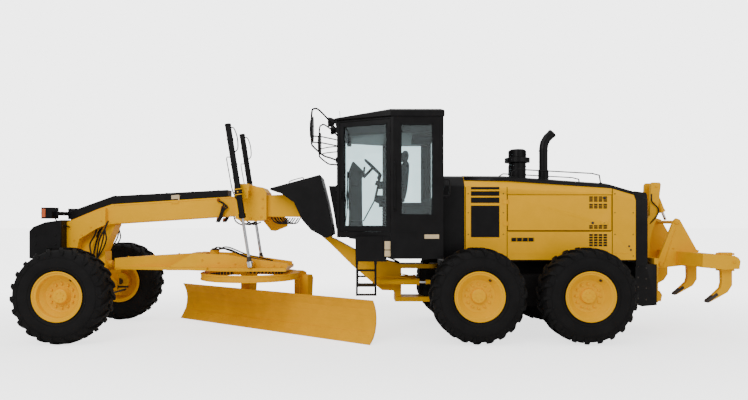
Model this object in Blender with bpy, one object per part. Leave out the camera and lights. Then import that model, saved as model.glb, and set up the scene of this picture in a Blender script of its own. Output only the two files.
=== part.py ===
"""Motor grader: six wheels, arched front frame, drawbar and circle with moldboard, cab on the rear frame, ripper.

Metres, +Z up. The machine's front faces -Y and its left side is +X. Lengths along the machine are
written as stations: the distance behind the front axle. Y_MID moves them so that the origin is
under the middle of the machine.
"""

import math

import bmesh
import bpy
from mathutils import Matrix, Vector

for old in list(bpy.data.objects):
    bpy.data.objects.remove(old, do_unlink=True)

# ---------------------------------------------------------------- driving sizes
NOSE, TAIL = -0.840, 9.530        # stations of the push block's face and the ripper beam's back
Y_MID = (NOSE + TAIL) / 2
TYRE_R, TYRE_W = 0.674, 0.445     # 17.5-25 grader tyre
TRACK_X = 1.030                   # wheel centre plane
FRONT_AXLE = 0.0
TANDEM = 6.571                    # station of the tandem pivot
TANDEM_HALF = 0.7625              # half the pitch of the tandem wheels
PIVOT = 5.200                     # articulation pin
BALL = (0.0, 0.25, 1.055)         # drawbar ball
CIRCLE = 2.434                    # station of the circle's centre
BLADE_ANGLE = math.radians(55.4)  # blade's left end, from +X towards the rear
BLADE_LEN = 4.040
GAP = 0.0004                      # kept between touching solids
SEG = 20

COLOURS = {
    "yellow": ((0.83, 0.49, 0.02, 1), 0.38, 0.0),
    "black": ((0.018, 0.018, 0.02, 1), 0.5, 0.0),
    "tyre": ((0.02, 0.02, 0.021, 1), 0.85, 0.0),
    "steel": ((0.42, 0.42, 0.42, 1), 0.4, 1.0),
    "chrome": ((0.8, 0.8, 0.8, 1), 0.12, 1.0),
    "iron": ((0.09, 0.085, 0.08, 1), 0.7, 0.4),
    "trim": ((0.05, 0.05, 0.055, 1), 0.8, 0.0),
    "edge": ((0.3, 0.27, 0.24, 1), 0.5, 1.0),
}


def material(slot):
    found = bpy.data.materials.get(slot)
    if found:
        return found
    made = bpy.data.materials.new(slot)
    made.use_nodes = True
    colour, rough, metal = COLOURS[slot]
    shader = made.node_tree.nodes["Principled BSDF"]
    shader.inputs["Base Color"].default_value = colour
    shader.inputs["Roughness"].default_value = rough
    shader.inputs["Metallic"].default_value = metal
    made.diffuse_color = colour
    return made


# ---------------------------------------------------------------- shape helpers
# Every helper returns a bmesh in (x, station, z); the row's Y comes when the object is made.
def prism(outline, axis, low, high):
    """Extrudes an outline along x, y or z. The outline is (y, z) for x, (x, z) for y and (x, y) for z."""
    bm = bmesh.new()
    place = {
        "x": lambda a, b, c: (c, a, b),
        "y": lambda a, b, c: (a, c, b),
        "z": lambda a, b, c: (a, b, c),
    }[axis]
    base = [bm.verts.new(place(a, b, low)) for a, b in outline]
    top = [bm.verts.new(place(a, b, high)) for a, b in outline]
    n = len(outline)
    bm.faces.new(base[::-1])
    bm.faces.new(top)
    for i in range(n):
        bm.faces.new((base[i], base[(i + 1) % n], top[(i + 1) % n], top[i]))
    bmesh.ops.recalc_face_normals(bm, faces=bm.faces)
    return bm


def block(x0, x1, y0, y1, z0, z1):
    return prism([(x0, y0), (x1, y0), (x1, y1), (x0, y1)], "z", z0, z1)


def loft(sections):
    """Joins closed sections of the same count of points, each a list of (x, y, z)."""
    bm = bmesh.new()
    rings = [[bm.verts.new(p) for p in section] for section in sections]
    n = len(rings[0])
    bm.faces.new(rings[0][::-1])
    bm.faces.new(rings[-1])
    for a, b in zip(rings, rings[1:]):
        for i in range(n):
            bm.faces.new((a[i], a[(i + 1) % n], b[(i + 1) % n], b[i]))
    bmesh.ops.recalc_face_normals(bm, faces=bm.faces)
    return bm


def frame_to(start, end):
    """Rotation that takes +X to the line from start to end, with local Z kept as upright as it can be."""
    along = (Vector(end) - Vector(start)).normalized()
    side = Vector((0, 0, 1)).cross(along)
    if side.length < 1e-6:
        side = Vector((0, 1, 0))
    side.normalize()
    up = along.cross(side)
    return Matrix((along, side, up)).transposed().to_4x4()


def turned(profile, start, end, segments=SEG):
    """Turns (distance along, radius) points round the line from start to end. Radius 0 closes on the axis."""
    bm = bmesh.new()
    rings = []
    for along, radius in profile:
        if radius == 0:
            rings.append([bm.verts.new((along, 0, 0))])
        else:
            rings.append([
                bm.verts.new((along, radius * math.sin(t), -radius * math.cos(t)))
                for t in (2 * math.pi * i / segments for i in range(segments))
            ])
    pairs = list(zip(rings, rings[1:]))
    if len(rings[0]) > 1:
        pairs.append((rings[-1], rings[0]))
    for a, b in pairs:
        for i in range(segments):
            j = (i + 1) % segments
            corners = [a[i % len(a)], a[j % len(a)], b[j % len(b)], b[i % len(b)]]
            corners = [c for k, c in enumerate(corners) if c not in corners[:k]]
            if len(corners) > 2:
                bm.faces.new(corners)
    bmesh.ops.recalc_face_normals(bm, faces=bm.faces)
    bmesh.ops.transform(bm, matrix=Matrix.Translation(start) @ frame_to(start, end), verts=bm.verts)
    return bm


def rod(start, end, radius, segments=16):
    length = (Vector(end) - Vector(start)).length
    return turned([(0, 0), (0, radius), (length, radius), (length, 0)], start, end, segments)


def pipe(points, radius, segments=8):
    """A round bar through points, mitred at each."""
    bm = bmesh.new()
    points = [Vector(p) for p in points]
    ways = [(b - a).normalized() for a, b in zip(points, points[1:])]
    rings = []
    side = ways[0].orthogonal().normalized()
    for i, point in enumerate(points):
        before, after = ways[max(i - 1, 0)], ways[min(i, len(ways) - 1)]
        mean = (before + after).normalized()
        stretch = 1 / max(mean.dot(after), 0.3)
        side = (side - mean * side.dot(mean)).normalized()
        if i and i < len(points) - 1:
            bend = (after - before)
            bend = (bend - mean * bend.dot(mean))
            bend = bend.normalized() if bend.length > 1e-9 else side
        else:
            bend, stretch = side, 1
        up = mean.cross(side)
        ring = []
        for k in range(segments):
            t = 2 * math.pi * k / segments
            offset = radius * (math.cos(t) * side + math.sin(t) * up)
            offset += bend * offset.dot(bend) * (stretch - 1)
            ring.append(bm.verts.new(point + offset))
        rings.append(ring)
    bm.faces.new(rings[0][::-1])
    bm.faces.new(rings[-1])
    for a, b in zip(rings, rings[1:]):
        for i in range(segments):
            bm.faces.new((a[i], a[(i + 1) % segments], b[(i + 1) % segments], b[i]))
    bmesh.ops.recalc_face_normals(bm, faces=bm.faces)
    return bm


def plate(points, thick, x_mid):
    """A plate standing along the machine: outline in (station, z), centred on x_mid."""
    return prism(points, "x", x_mid - thick / 2, x_mid + thick / 2)


def mirrored(bm):
    made = bm.copy()
    bmesh.ops.transform(made, matrix=Matrix.Diagonal((-1, 1, 1, 1)), verts=made.verts)
    bmesh.ops.recalc_face_normals(made, faces=made.faces)
    return made


def moved(bm, x=0, y=0, z=0):
    made = bm.copy()
    bmesh.ops.translate(made, vec=(x, y, z), verts=made.verts)
    return made


def rotated(bm, angle, axis, centre):
    made = bm.copy()
    bmesh.ops.rotate(made, cent=centre, matrix=Matrix.Rotation(angle, 3, axis), verts=made.verts)
    return made


def arc(cx, cy, radius, start_deg, end_deg, steps):
    return [
        (cx + radius * math.cos(math.radians(start_deg + (end_deg - start_deg) * i / steps)),
         cy + radius * math.sin(math.radians(start_deg + (end_deg - start_deg) * i / steps)))
        for i in range(steps + 1)
    ]


def helper(bm, name):
    mesh = bpy.data.meshes.new(name)
    bm.to_mesh(mesh)
    bm.free()
    obj = bpy.data.objects.new(name, mesh)
    bpy.context.collection.objects.link(obj)
    return obj


root = bpy.data.objects.new("machine_axes", None)
root.location = (0, -Y_MID, 0)
bpy.context.collection.objects.link(root)


def piece(name, slot, shapes, cuts=(), pivot=None):
    """One named solid: the union of shapes, less cuts, with its origin at pivot."""
    shapes = list(shapes) if isinstance(shapes, (list, tuple)) else [shapes]
    obj = helper(shapes[0], name)
    others = [(helper(bm, name + "_add"), "UNION") for bm in shapes[1:]]
    others += [(helper(bm, name + "_cut"), "DIFFERENCE") for bm in cuts]
    for other, operation in others:
        modifier = obj.modifiers.new(operation.lower(), "BOOLEAN")
        modifier.operation = operation
        modifier.solver = "EXACT"
        modifier.object = other
    if others:
        bpy.context.view_layer.update()
        graph = bpy.context.evaluated_depsgraph_get()
        mesh = bpy.data.meshes.new_from_object(obj.evaluated_get(graph))
        obj.modifiers.clear()
        obj.data = mesh
        for other, _ in others:
            bpy.data.objects.remove(other, do_unlink=True)
    mesh = obj.data
    mesh.name = name
    mesh.materials.clear()
    mesh.materials.append(material(slot))
    mesh.shade_smooth()
    mesh.set_sharp_from_angle(angle=math.radians(32))
    obj.parent = root
    if pivot:
        mesh.transform(Matrix.Translation(-Vector(pivot)))
        obj.location = pivot
    return obj


# ---------------------------------------------------------------- wheels
# name, side, station
WHEELS = [
    ("front_left", 1, FRONT_AXLE), ("front_right", -1, FRONT_AXLE),
    ("mid_left", 1, TANDEM - TANDEM_HALF), ("mid_right", -1, TANDEM - TANDEM_HALF),
    ("rear_left", 1, TANDEM + TANDEM_HALF), ("rear_right", -1, TANDEM + TANDEM_HALF),
]
HALF_TYRE = [(0, 0.674), (0.11, 0.6715), (0.192, 0.650), (0.217, 0.595), (0.2225, 0.49), (0.203, 0.372), (0.176, 0.352), (0.176, 0.3195)]
TYRE_PROFILE = HALF_TYRE[::-1] + [(-a, r) for a, r in HALF_TYRE[1:]]
RIM_PROFILE = [
    (-0.150, 0), (-0.150, 0.150), (0.020, 0.150), (0.020, 0.262), (-0.185, 0.286), (-0.204, 0.300), (-0.204, 0.350),
    (-0.192, 0.350), (-0.180, 0.3187), (0.180, 0.3187), (0.192, 0.350), (0.204, 0.350), (0.204, 0.326), (0.188, 0.292),
    (0.062, 0.268), (0.050, 0.190), (0.050, 0.135), (0.105, 0.120), (0.105, 0),
]
for name, side, station in WHEELS:
    centre = (side * TRACK_X, station, TYRE_R)
    out = (side * (TRACK_X + 1), station, TYRE_R)
    piece("tyre_" + name, "tyre", turned(TYRE_PROFILE, centre, out), pivot=centre)
    piece("rim_" + name, "yellow", turned(RIM_PROFILE, centre, out), pivot=centre)

# ---------------------------------------------------------------- rear frame and drive
HITCH_R = 0.19
rear_side = [(5.42, 0.66), (5.42, 1.10), (8.24, 1.10), (8.24, 0.56), (7.2, 0.50), (5.75, 0.50)]
piece("rear_frame", "black", [
    plate(rear_side, 0.62, 0),
    prism([(-0.12, 5.5), (0.12, 5.5)] + [(x, y) for x, y in arc(0, PIVOT, 0.12, 0, -180, 8)], "z", 0.560, 0.960),
    rod((0, PIVOT, 0.425), (0, PIVOT, 1.105), 0.055),
    block(-0.45, 0.45, 6.42, 6.72, 0.56, 0.86),
])
for side, word in ((1, "left"), (-1, "right")):
    tandem = [(y, z) for y, z in arc(TANDEM + TANDEM_HALF, TYRE_R, 0.20, -90, 90, 6)]
    tandem += [(TANDEM + 0.25, 0.93), (TANDEM - 0.25, 0.93)]
    tandem += [(y, z) for y, z in arc(TANDEM - TANDEM_HALF, TYRE_R, 0.20, 90, 270, 6)]
    piece("tandem_case_" + word, "black", [
        plate(tandem, 0.24, side * 0.60),
        rod((side * 0.455, TANDEM, TYRE_R), (side * 0.6, TANDEM, TYRE_R), 0.19),
        rod((side * 0.6, TANDEM - TANDEM_HALF, TYRE_R), (side * 0.871, TANDEM - TANDEM_HALF, TYRE_R), 0.12),
        rod((side * 0.6, TANDEM + TANDEM_HALF, TYRE_R), (side * 0.871, TANDEM + TANDEM_HALF, TYRE_R), 0.12),
    ])

# ---------------------------------------------------------------- engine hood
HOOD_X = 0.60
# station, height of the roof line
HOOD_TOP = [(5.395, 2.405), (6.34, 2.400), (7.90, 2.290), (8.24, 2.190), (8.45, 2.146)]


def hood_roof(station):
    for (a, za), (b, zb) in zip(HOOD_TOP, HOOD_TOP[1:]):
        if station <= b:
            return za + (zb - za) * (station - a) / (b - a)
    return HOOD_TOP[-1][1]


def hood_section(station, inset=0.0, floor=1.14):
    roof, half = hood_roof(station) - inset, HOOD_X - inset
    return [(-half, station, floor), (half, station, floor), (half, station, roof - 0.17), (half - 0.10, station, roof - 0.03),
            (half - 0.28, station, roof), (-half + 0.28, station, roof), (-half + 0.10, station, roof - 0.03), (-half, station, roof - 0.17)]


piece("rear_bulkhead", "black", loft([hood_section(5.395, 0.0, 1.105), hood_section(5.705, 0.0, 1.105)]))
DOOR_Y, DOOR_Z = (6.345, 7.880), (1.58, 2.10)
hood_cuts = [loft([hood_section(5.72, 0.04, 1.0), hood_section(8.21, 0.04, 1.0)])]
for side in (1, -1):
    hood_cuts.append(block(min(side * 0.5, side * 0.7), max(side * 0.5, side * 0.7), DOOR_Y[0] - 0.008, DOOR_Y[1] + 0.008, DOOR_Z[0] - 0.008, DOOR_Z[1] + 0.008))
for side, word in ((1, "left"), (-1, "right")):
    x = side * 0.42
    piece("hood_rail_" + word, "iron", [
        pipe([(x, 6.44, hood_roof(6.44) - 0.006), (x, 6.45, 2.455), (x, 6.52, 2.498), (x, 7.66, 2.436), (x, 7.77, 2.408), (x, 7.79, hood_roof(7.79) - 0.006)], 0.010, 8),
        prism(arc(x, 6.44, 0.026, 0, 330, 12), "z", hood_roof(6.44) - 0.0095, hood_roof(6.44) - 0.002),
        prism(arc(x, 7.79, 0.026, 0, 330, 12), "z", hood_roof(7.79) - 0.0095, hood_roof(7.79) - 0.002),
    ])
piece("engine_hood", "yellow", [loft([hood_section(5.7055, 0.001, 1.14), hood_section(7.90, 0.001, 1.14), hood_section(8.239, 0.001, 1.14)])], hood_cuts)
for side, word in ((1, "left"), (-1, "right")):
    x0, x1 = sorted((side * 0.565, side * 0.599))
    piece("engine_door_" + word, "yellow", [
        block(x0, x1, DOOR_Y[0], DOOR_Y[1], DOOR_Z[0], DOOR_Z[1]),
        block(*sorted((side * 0.598, side * 0.612)), 7.72, 7.82, 1.66, 1.72),
    ], pivot=(side * 0.608, DOOR_Y[0] - 0.002, 1.84))
piece("engine_block", "iron", block(-0.33, 0.33, 6.45, 7.65, 1.101, 1.98))
piece("radiator_guard", "black", [loft([hood_section(8.2405, 0.0, 1.05), hood_section(8.40, 0.0, 1.05)]),
      plate([(8.2405, 0.52), (8.2405, 1.0745), (8.56, 1.0745), (8.56, 0.47), (8.34, 0.45)], 1.16, 0),
      plate([(8.26, 2.03), (8.26, 2.165), (8.43, 2.14), (8.445, 2.10), (8.445, 2.03)], 1.04, 0),
      block(0.49, 0.565, 8.36, 8.43, 1.06, 2.05), block(-0.565, -0.49, 8.36, 8.43, 1.06, 2.05)],
      [block(-0.48, 0.48, 8.425, 8.50, 1.20, 2.02), block(-0.48, 0.48, 8.20, 8.385, 1.20, 2.02)])
piece("precleaner", "black", [
    turned([(0, 0), (0, 0.132), (0.235, 0.132), (0.245, 0.192), (0.315, 0.192), (0.330, 0.134), (0.435, 0.130), (0.452, 0.10), (0.456, 0)],
           (0.10, 6.616, 2.3835), (0.10, 6.616, 3.4), 24),
])
piece("exhaust_stack", "iron", [
    pipe([(0.15, 7.01, 2.3625), (0.15, 7.01, 2.84), (0.15, 7.025, 2.93), (0.15, 7.07, 3.01), (0.15, 7.15, 3.085)], 0.066, 16),
    rod((0.15, 7.01, 2.3625), (0.15, 7.01, 2.50), 0.080, 16),
])
# ---------------------------------------------------------------- cab, carried by the rear frame
# x, station round the cab's plan: narrow front, angled doors, full-width rear
CAB_PLAN = [(-0.42, 3.810), (0.42, 3.810), (0.82, 4.640), (0.82, 5.365), (-0.82, 5.365), (-0.82, 4.640)]
CAB_FLOOR, CAB_TOP, WALL = 1.530, 3.230, 0.05


def shrunk(plan, by):
    """The plan with each side moved in by a distance."""
    lines = []
    n = len(plan)
    for i in range(n):
        a, b = Vector(plan[i]), Vector(plan[(i + 1) % n])
        way = (b - a).normalized()
        inward = Vector((-way.y, way.x))
        lines.append((a + inward * by, way))
    made = []
    for i in range(n):
        (p, d), (q, e) = lines[i - 1], lines[i]
        t = ((q - p).x * e.y - (q - p).y * e.x) / (d.x * e.y - d.y * e.x)
        made.append(tuple(p + d * t))
    return made


def door_band(side, t0, t1, z0, z1, out, deep):
    """A slab on the cab's angled door face, t0 to t1 along the face, from out beyond it to deep behind it."""
    a, b = Vector((side * 0.42, 3.810)), Vector((side * 0.82, 4.640))
    way = (b - a).normalized()
    normal = Vector((way.y, -way.x)) * side
    corners = [a + way * t0 + normal * out, a + way * t1 + normal * out, a + way * t1 - normal * deep, a + way * t0 - normal * deep]
    return prism([tuple(c) for c in corners], "z", z0, z1)


DOOR_LEN = (Vector((0.82, 4.640)) - Vector((0.42, 3.810))).length
inner = shrunk(CAB_PLAN, WALL)
lower_rear = [(-0.82, 4.640), (0.82, 4.640), (0.82, 5.365), (-0.82, 5.365)]
cab_cuts = [
    prism(inner, "z", CAB_FLOOR + 0.0, CAB_TOP + 0.2),
    block(-0.36, 0.36, 3.8098, 3.95, 1.62, 3.16),
    block(-0.74, 0.74, 5.25, 5.50, 2.05, 3.16),
]
for side in (1, -1):
    cab_cuts.append(door_band(side, 0.045, DOOR_LEN - 0.045, CAB_FLOOR + 0.03, CAB_TOP - 0.03, 0.2, 0.2))
    cab_cuts.append(block(*sorted((side * 0.7, side * 0.95)), 4.745, 5.215, 1.80, 3.12))
steps = []
for side in (1, -1):
    steps.append(plate([(4.00, CAB_FLOOR - 0.04), (4.00, 1.464), (4.09, 1.452), (4.095, 1.13), (4.545, 1.13), (4.545, CAB_FLOOR - 0.04)], 0.024, side * 0.768))
    steps.append(block(*sorted((side * 0.50, side * 0.775)), 4.06, 4.545, 1.458, CAB_FLOOR - 0.04))
    steps.append(block(*sorted((side * 0.61, side * 0.80)), 4.50, 4.65, 1.20, CAB_FLOOR - 0.04))
    for y0 in (4.10, 4.37):
        steps.append(block(*sorted((side * 0.712, side * 0.765)), y0, y0 + 0.03, 0.63, 1.125))
        steps.append(block(*sorted((side * 0.742, side * 0.778)), y0 - 0.005, y0 + 0.035, 1.09, 1.17))
    for z0 in (0.63, 0.76, 0.985):
        steps.append(block(*sorted((side * 0.69, side * 0.772)), 4.11, 4.39, z0 + 0.002, z0 + 0.025))
piece("cab_shell", "black", [
    prism(CAB_PLAN, "z", CAB_FLOOR - 0.06, CAB_TOP),
    block(-0.819, 0.819, 4.60, 5.364, 1.17, CAB_FLOOR),
    plate([(3.675, 2.26), (3.70, 2.12), (3.735, 1.95), (3.77, 1.75), (3.79, 1.60), (3.83, 1.60), (3.83, 2.26)], 0.44, 0),
    block(-0.41, 0.41, 3.790, 3.83, 2.18, 2.26),
] + steps, cab_cuts + [block(-0.60, 0.60, 4.50, 5.50, 1.10, CAB_FLOOR - 0.06)])
ROOF_PLAN = [(-0.45, 3.770), (0.45, 3.770), (0.84, 4.600), (0.84, 5.380), (-0.84, 5.380), (-0.84, 4.600)]
roof_low = [(x, y, CAB_TOP + GAP) for x, y in ROOF_PLAN]
roof_mid = [(x, y, CAB_TOP + (0.03 if y < 4 else 0.085)) for x, y in ROOF_PLAN]
roof_top = [(x * 0.93, 4.6 + (y - 4.6) * 0.95, CAB_TOP + (0.045 if y < 4 else 0.112)) for x, y in ROOF_PLAN]
piece("cab_roof", "black", [loft([roof_low, roof_mid, roof_top]), prism(shrunk(CAB_PLAN, 0.052), "z", 2.995, CAB_TOP + 0.01)])
for side, word in ((1, "left"), (-1, "right")):
    t0, t1 = 0.051, DOOR_LEN - 0.051
    hinge = Vector((side * 0.82, 4.640)) - Vector((0.40 * side, 0.83)).normalized() * 0.051
    piece("cab_door_" + word, "black", [door_band(side, t0, t1, CAB_FLOOR + 0.036, CAB_TOP - 0.036, -0.004, 0.040)],
          [door_band(side, t0 + 0.055, t1 - 0.055, CAB_FLOOR + 0.095, CAB_TOP - 0.09, 0.1, 0.2)],
          pivot=(hinge.x, hinge.y, 2.4))
piece("operator_seat", "trim", [
    prism([(4.40, 2.02), (4.38, 2.09), (4.42, 2.125), (4.78, 2.10), (4.86, 2.06), (4.86, 2.00), (4.44, 1.99)], "x", -0.25, 0.25),
    prism([(4.72, 2.04), (4.70, 2.12), (4.78, 2.56), (4.82, 2.64), (4.89, 2.66), (4.93, 2.60), (4.90, 2.30), (4.86, 2.04)], "x", -0.24, 0.24),
    prism([(4.81, 2.62), (4.80, 2.78), (4.84, 2.83), (4.91, 2.82), (4.93, 2.74), (4.90, 2.62)], "x", -0.13, 0.13),
    block(-0.15, 0.15, 4.48, 4.78, CAB_FLOOR + GAP, 2.01),
    prism([(4.44, 2.20), (4.42, 2.30), (4.48, 2.34), (4.84, 2.31), (4.84, 2.24)], "x", 0.235, 0.31),
    prism([(4.44, 2.20), (4.42, 2.30), (4.48, 2.34), (4.84, 2.31), (4.84, 2.24)], "x", -0.31, -0.235),
])
piece("steering_console", "trim", [
    prism([(3.96, CAB_FLOOR + GAP), (4.26, CAB_FLOOR + GAP), (4.20, 1.72), (4.20, 2.42), (4.25, 2.47), (4.05, 2.66), (3.95, 2.44), (3.99, 2.30), (3.98, 1.75)], "x", -0.14, 0.14),
    rod((0, 4.16, 2.36), (0, 4.305, 2.50), 0.026, 12),
    turned([(0, 0), (0, 0.195), (0.028, 0.195), (0.028, 0)], (0, 4.30, 2.495), (0, 4.42, 2.62), 20),
])
for side, word in ((1, "left"), (-1, "right")):
    rail = [(side * 0.44, 3.80, 3.16), (side * 0.62, 3.62, 3.30), (side * 0.72, 3.52, 3.36), (side * 0.76, 3.46, 3.20),
            (side * 0.74, 3.48, 2.82), (side * 0.62, 3.62, 2.68), (side * 0.44, 3.80, 2.66)]
    piece("mirror_arm_" + word, "trim", [
        pipe([(side * 0.38, 3.796, 3.10), (side * 0.50, 3.70, 3.20)] + rail[2:-1] + [(side * 0.38, 3.796, 2.64)], 0.014, 8),
        loft([[(side * 0.66, 3.47, 2.90), (side * 0.88, 3.45, 2.90), (side * 0.88, 3.45, 3.20), (side * 0.66, 3.47, 3.20)],
              [(side * 0.66, 3.52, 2.90), (side * 0.88, 3.50, 2.90), (side * 0.88, 3.50, 3.20), (side * 0.66, 3.52, 3.20)]]),
        block(*sorted((side * 0.33, side * 0.40)), 3.790, 3.8094, 3.06, 3.14),
        block(*sorted((side * 0.33, side * 0.40)), 3.790, 3.8094, 2.60, 2.68),
    ])

# ---------------------------------------------------------------- front frame
BEAM_X = 0.18
beam_side = [
    (-0.345, 1.720), (0.10, 1.905), (0.313, 1.977), (2.22, 2.100), (3.05, 2.13), (3.32, 2.02), (3.60, 1.80), (3.712, 1.63), (3.718, 1.452),
    (3.765, 1.440), (4.25, 1.180), (4.80, 1.050), (4.80, 0.985), (4.69, 0.60), (4.675, 0.640), (4.50, 0.645), (4.31, 0.800),
    (4.05, 1.020), (3.69, 1.377), (3.22, 1.780), (2.22, 1.794), (0.313, 1.670), (0.02, 1.585), (-0.17, 1.46), (-0.345, 1.32),
]
hitch_upper = [(-0.19, 4.70), (0.19, 4.70)] + arc(0, PIVOT, HITCH_R, 0, 180, 12)
nose = [(-0.352, 1.20), (-0.352, 1.70), (0.24, 1.915), (0.24, 1.66), (0.10, 1.60), (-0.16, 1.44), (-0.22, 1.20)]
axle_cut = rod((0, -0.5, TYRE_R + 0.10), (0, 0.5, TYRE_R + 0.10), 0.072)
piece("front_frame", "yellow", [
    plate(beam_side, 2 * BEAM_X, 0),
    prism(hitch_upper, "z", 0.985, 1.050),
    prism(hitch_upper, "z", 0.470, 0.540),
    block(-0.15, 0.15, 4.70, 4.80, 0.50, 1.02),
    plate(nose, 0.50, 0),
    plate([(-0.24, 1.25), (-0.24, 1.60), (0.30, 1.72), (0.34, 1.66), (0.14, 1.20), (0.14, 0.985), (-0.14, 0.985), (-0.14, 1.22)], 0.24, 0),
    block(-0.12, 0.12, 0.02, 0.18, 0.985, 1.24),
    rod((0, 0.15, BALL[2]), BALL, 0.045),
], [rod((0, PIVOT, 0.3), (0, PIVOT, 1.3), 0.0555 + 0.003)])
hose_low = [(-0.345, 1.7204), (0.10, 1.9054), (0.313, 1.9774), (2.10, 2.0926)]
piece("hose_cover", "black", [plate(hose_low + [(2.10, 2.205), (0.313, 2.108), (-0.345, 1.871)], 0.30, 0)],
      [block(-0.3, 0.3, -0.36, 0.25, 1.0, 1.60)])
piece("push_block", "black", [
    plate([(-0.84, 1.15), (-0.84, 1.565), (-0.78, 1.63), (-0.60, 1.70), (-0.3524, 1.735), (-0.3524, 1.15)], 0.84, 0),
], [block(*sorted((side * 0.36, side * 0.50)), -0.56, -0.30, 1.0, 1.30) for side in (1, -1)])
piece("headlights", "black", [block(-0.42, 0.42, -0.43, -0.39, 1.80, 1.86), block(-0.06, 0.06, -0.43, -0.39, 1.7445, 1.81)] + [
    block(*sorted((side * 0.30, side * 0.50)), -0.61, -0.45, 1.752, 1.922) for side in (1, -1)] + [
    block(*sorted((side * 0.38, side * 0.42)), -0.56, -0.40, 1.80, 1.86) for side in (1, -1)])
cover_side = [(2.93, 2.16), (2.80, 2.185), (2.80, 2.215), (2.93, 2.25), (3.56, 2.42), (3.66, 2.03), (3.74, 1.62), (3.752, 1.50), (3.64, 1.46), (3.42, 1.58), (3.28, 1.74), (3.16, 2.00)]
piece("hydraulic_cover", "black", [plate(cover_side, 0.88, 0)],
      [plate([(2.8, 1.30), (2.8, 2.135), (3.06, 2.135), (3.33, 2.026), (3.61, 1.806), (3.763, 1.625), (3.90, 1.40), (3.90, 1.0)], 2 * BEAM_X + 0.004, 0)])

# saddle that carries the blade lift cylinders
LIFT_X = 0.52
piece("lift_saddle", "yellow", [
    plate([(2.24, 1.755), (2.24, 2.30), (2.66, 2.235), (2.72, 2.16), (2.72, 1.745), (2.62, 1.715), (2.34, 1.715)], 0.52, 0),
    block(-LIFT_X + 0.09, LIFT_X - 0.09, 2.26, 2.48, 2.1705, 2.28),
    plate([(2.27, 2.06), (2.27, 2.25), (2.47, 2.25), (2.47, 2.06)], 0.08, LIFT_X - 0.13),
    plate([(2.27, 2.06), (2.27, 2.25), (2.47, 2.25), (2.47, 2.06)], 0.08, -LIFT_X + 0.13),
    plate([(2.58, 1.74), (2.76, 1.86), (2.93, 1.80), (2.99, 1.69), (2.98, 1.63), (2.79, 1.555), (2.72, 1.565)], 0.07, -0.215),
], [plate([(2.0, 1.50), (2.0, 2.1005 - 0.0142), (2.22, 2.1005), (3.05, 2.1305), (3.05, 1.7825), (2.22, 1.7935)], 2 * BEAM_X + 0.0008, 0)])

# ---------------------------------------------------------------- front axle, leaning and steered wheels
AXLE_Z, LEAN_X, LEAN_Z = 0.74, 0.66, 0.62
piece("front_axle", "yellow", [
    prism([(-0.59, 0.55), (-0.59, 0.70), (-0.25, 0.86), (0.25, 0.86), (0.59, 0.70), (0.59, 0.55), (0.25, 0.62), (-0.25, 0.62)], "y", -0.075, 0.075),
    plate([(-0.12, 0.80), (-0.12, 0.9796), (0.12, 0.9796), (0.12, 0.80)], 0.18, 0),
])
for side, word in ((1, "left"), (-1, "right")):
    pin = (side * LEAN_X, 0, LEAN_Z)
    piece("lean_carrier_" + word, "yellow", [
        block(*sorted((side * 0.625, side * 0.745)), -0.075, 0.075, 0.47, 0.53),
        block(*sorted((side * 0.625, side * 0.745)), -0.075, 0.075, 0.83, 0.89),
        block(*sorted((side * 0.625, side * 0.655)), -0.075, 0.075, 0.47, 0.89),
    ], [block(*sorted((side * 0.60, side * 0.68)), 0.012, 0.09, 0.560, 0.640)], pivot=pin)
    king = (side * 0.705, 0, TYRE_R)
    piece("knuckle_" + word, "iron", [
        rod((side * 0.705, 0, 0.535), (side * 0.705, 0, 0.825), 0.040),
        rod((side * 0.705, 0, TYRE_R), (side * 0.874, 0, TYRE_R), 0.055),
        block(*sorted((side * 0.69, side * 0.72)), 0.0, 0.21, 0.585, 0.615),
    ], pivot=king)
piece("tie_rod", "steel", rod((-0.64, 0.19, 0.565), (0.64, 0.19, 0.565), 0.016, 10), pivot=(0, 0.19, 0.565))
piece("lean_bar", "yellow", block(-0.66, 0.66, -0.175, -0.132, 0.935, 0.975), pivot=(0, -0.15, 0.955))

# ---------------------------------------------------------------- blade lift cylinders, one each side
# side: station and height of the saddle trunnion, the barrel's top and the rod's eye
LIFT_TOP, LIFT_TRUNNION, LIFT_EYE = (2.185, 3.165), (2.345, 2.150), (2.515, 1.072)
way = (Vector(LIFT_EYE) - Vector(LIFT_TOP)).normalized()
for side, word in ((1, "left"), (-1, "right")):
    x = side * LIFT_X
    top, eye = Vector((x, *LIFT_TOP)), Vector((x, *LIFT_EYE))
    d = (eye - top).normalized()
    low = top + d * 1.425
    trunnion = top + d * (LIFT_TRUNNION[1] - LIFT_TOP[1]) / d.z
    piece("lift_barrel_" + word, "black", [
        turned([(0, 0), (0, 0.046), (1.425, 0.046), (1.425, 0.0245), (0.03, 0.0245), (0.03, 0)], top, low, 16),
        turned([(0, 0.034), (0, 0.060), (0.09, 0.060), (0.09, 0.034)], trunnion - d * 0.045, trunnion + d * 0.045, 20),
        rod((side * (LIFT_X - 0.088), trunnion.y, trunnion.z), (side * (LIFT_X - 0.040), trunnion.y, trunnion.z), 0.030, 12),
    ], pivot=tuple(trunnion))
    piece("lift_rod_" + word, "chrome", [
        rod(top + d * 0.70, eye - d * 0.045, 0.0235, 12),
        turned([(0, 0), (0, 0.035), (0.02, 0.05), (0.08, 0.05), (0.10, 0.035), (0.10, 0)], eye - d * 0.05, eye + d * 0.05, 14),
    ], pivot=tuple(eye))

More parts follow.
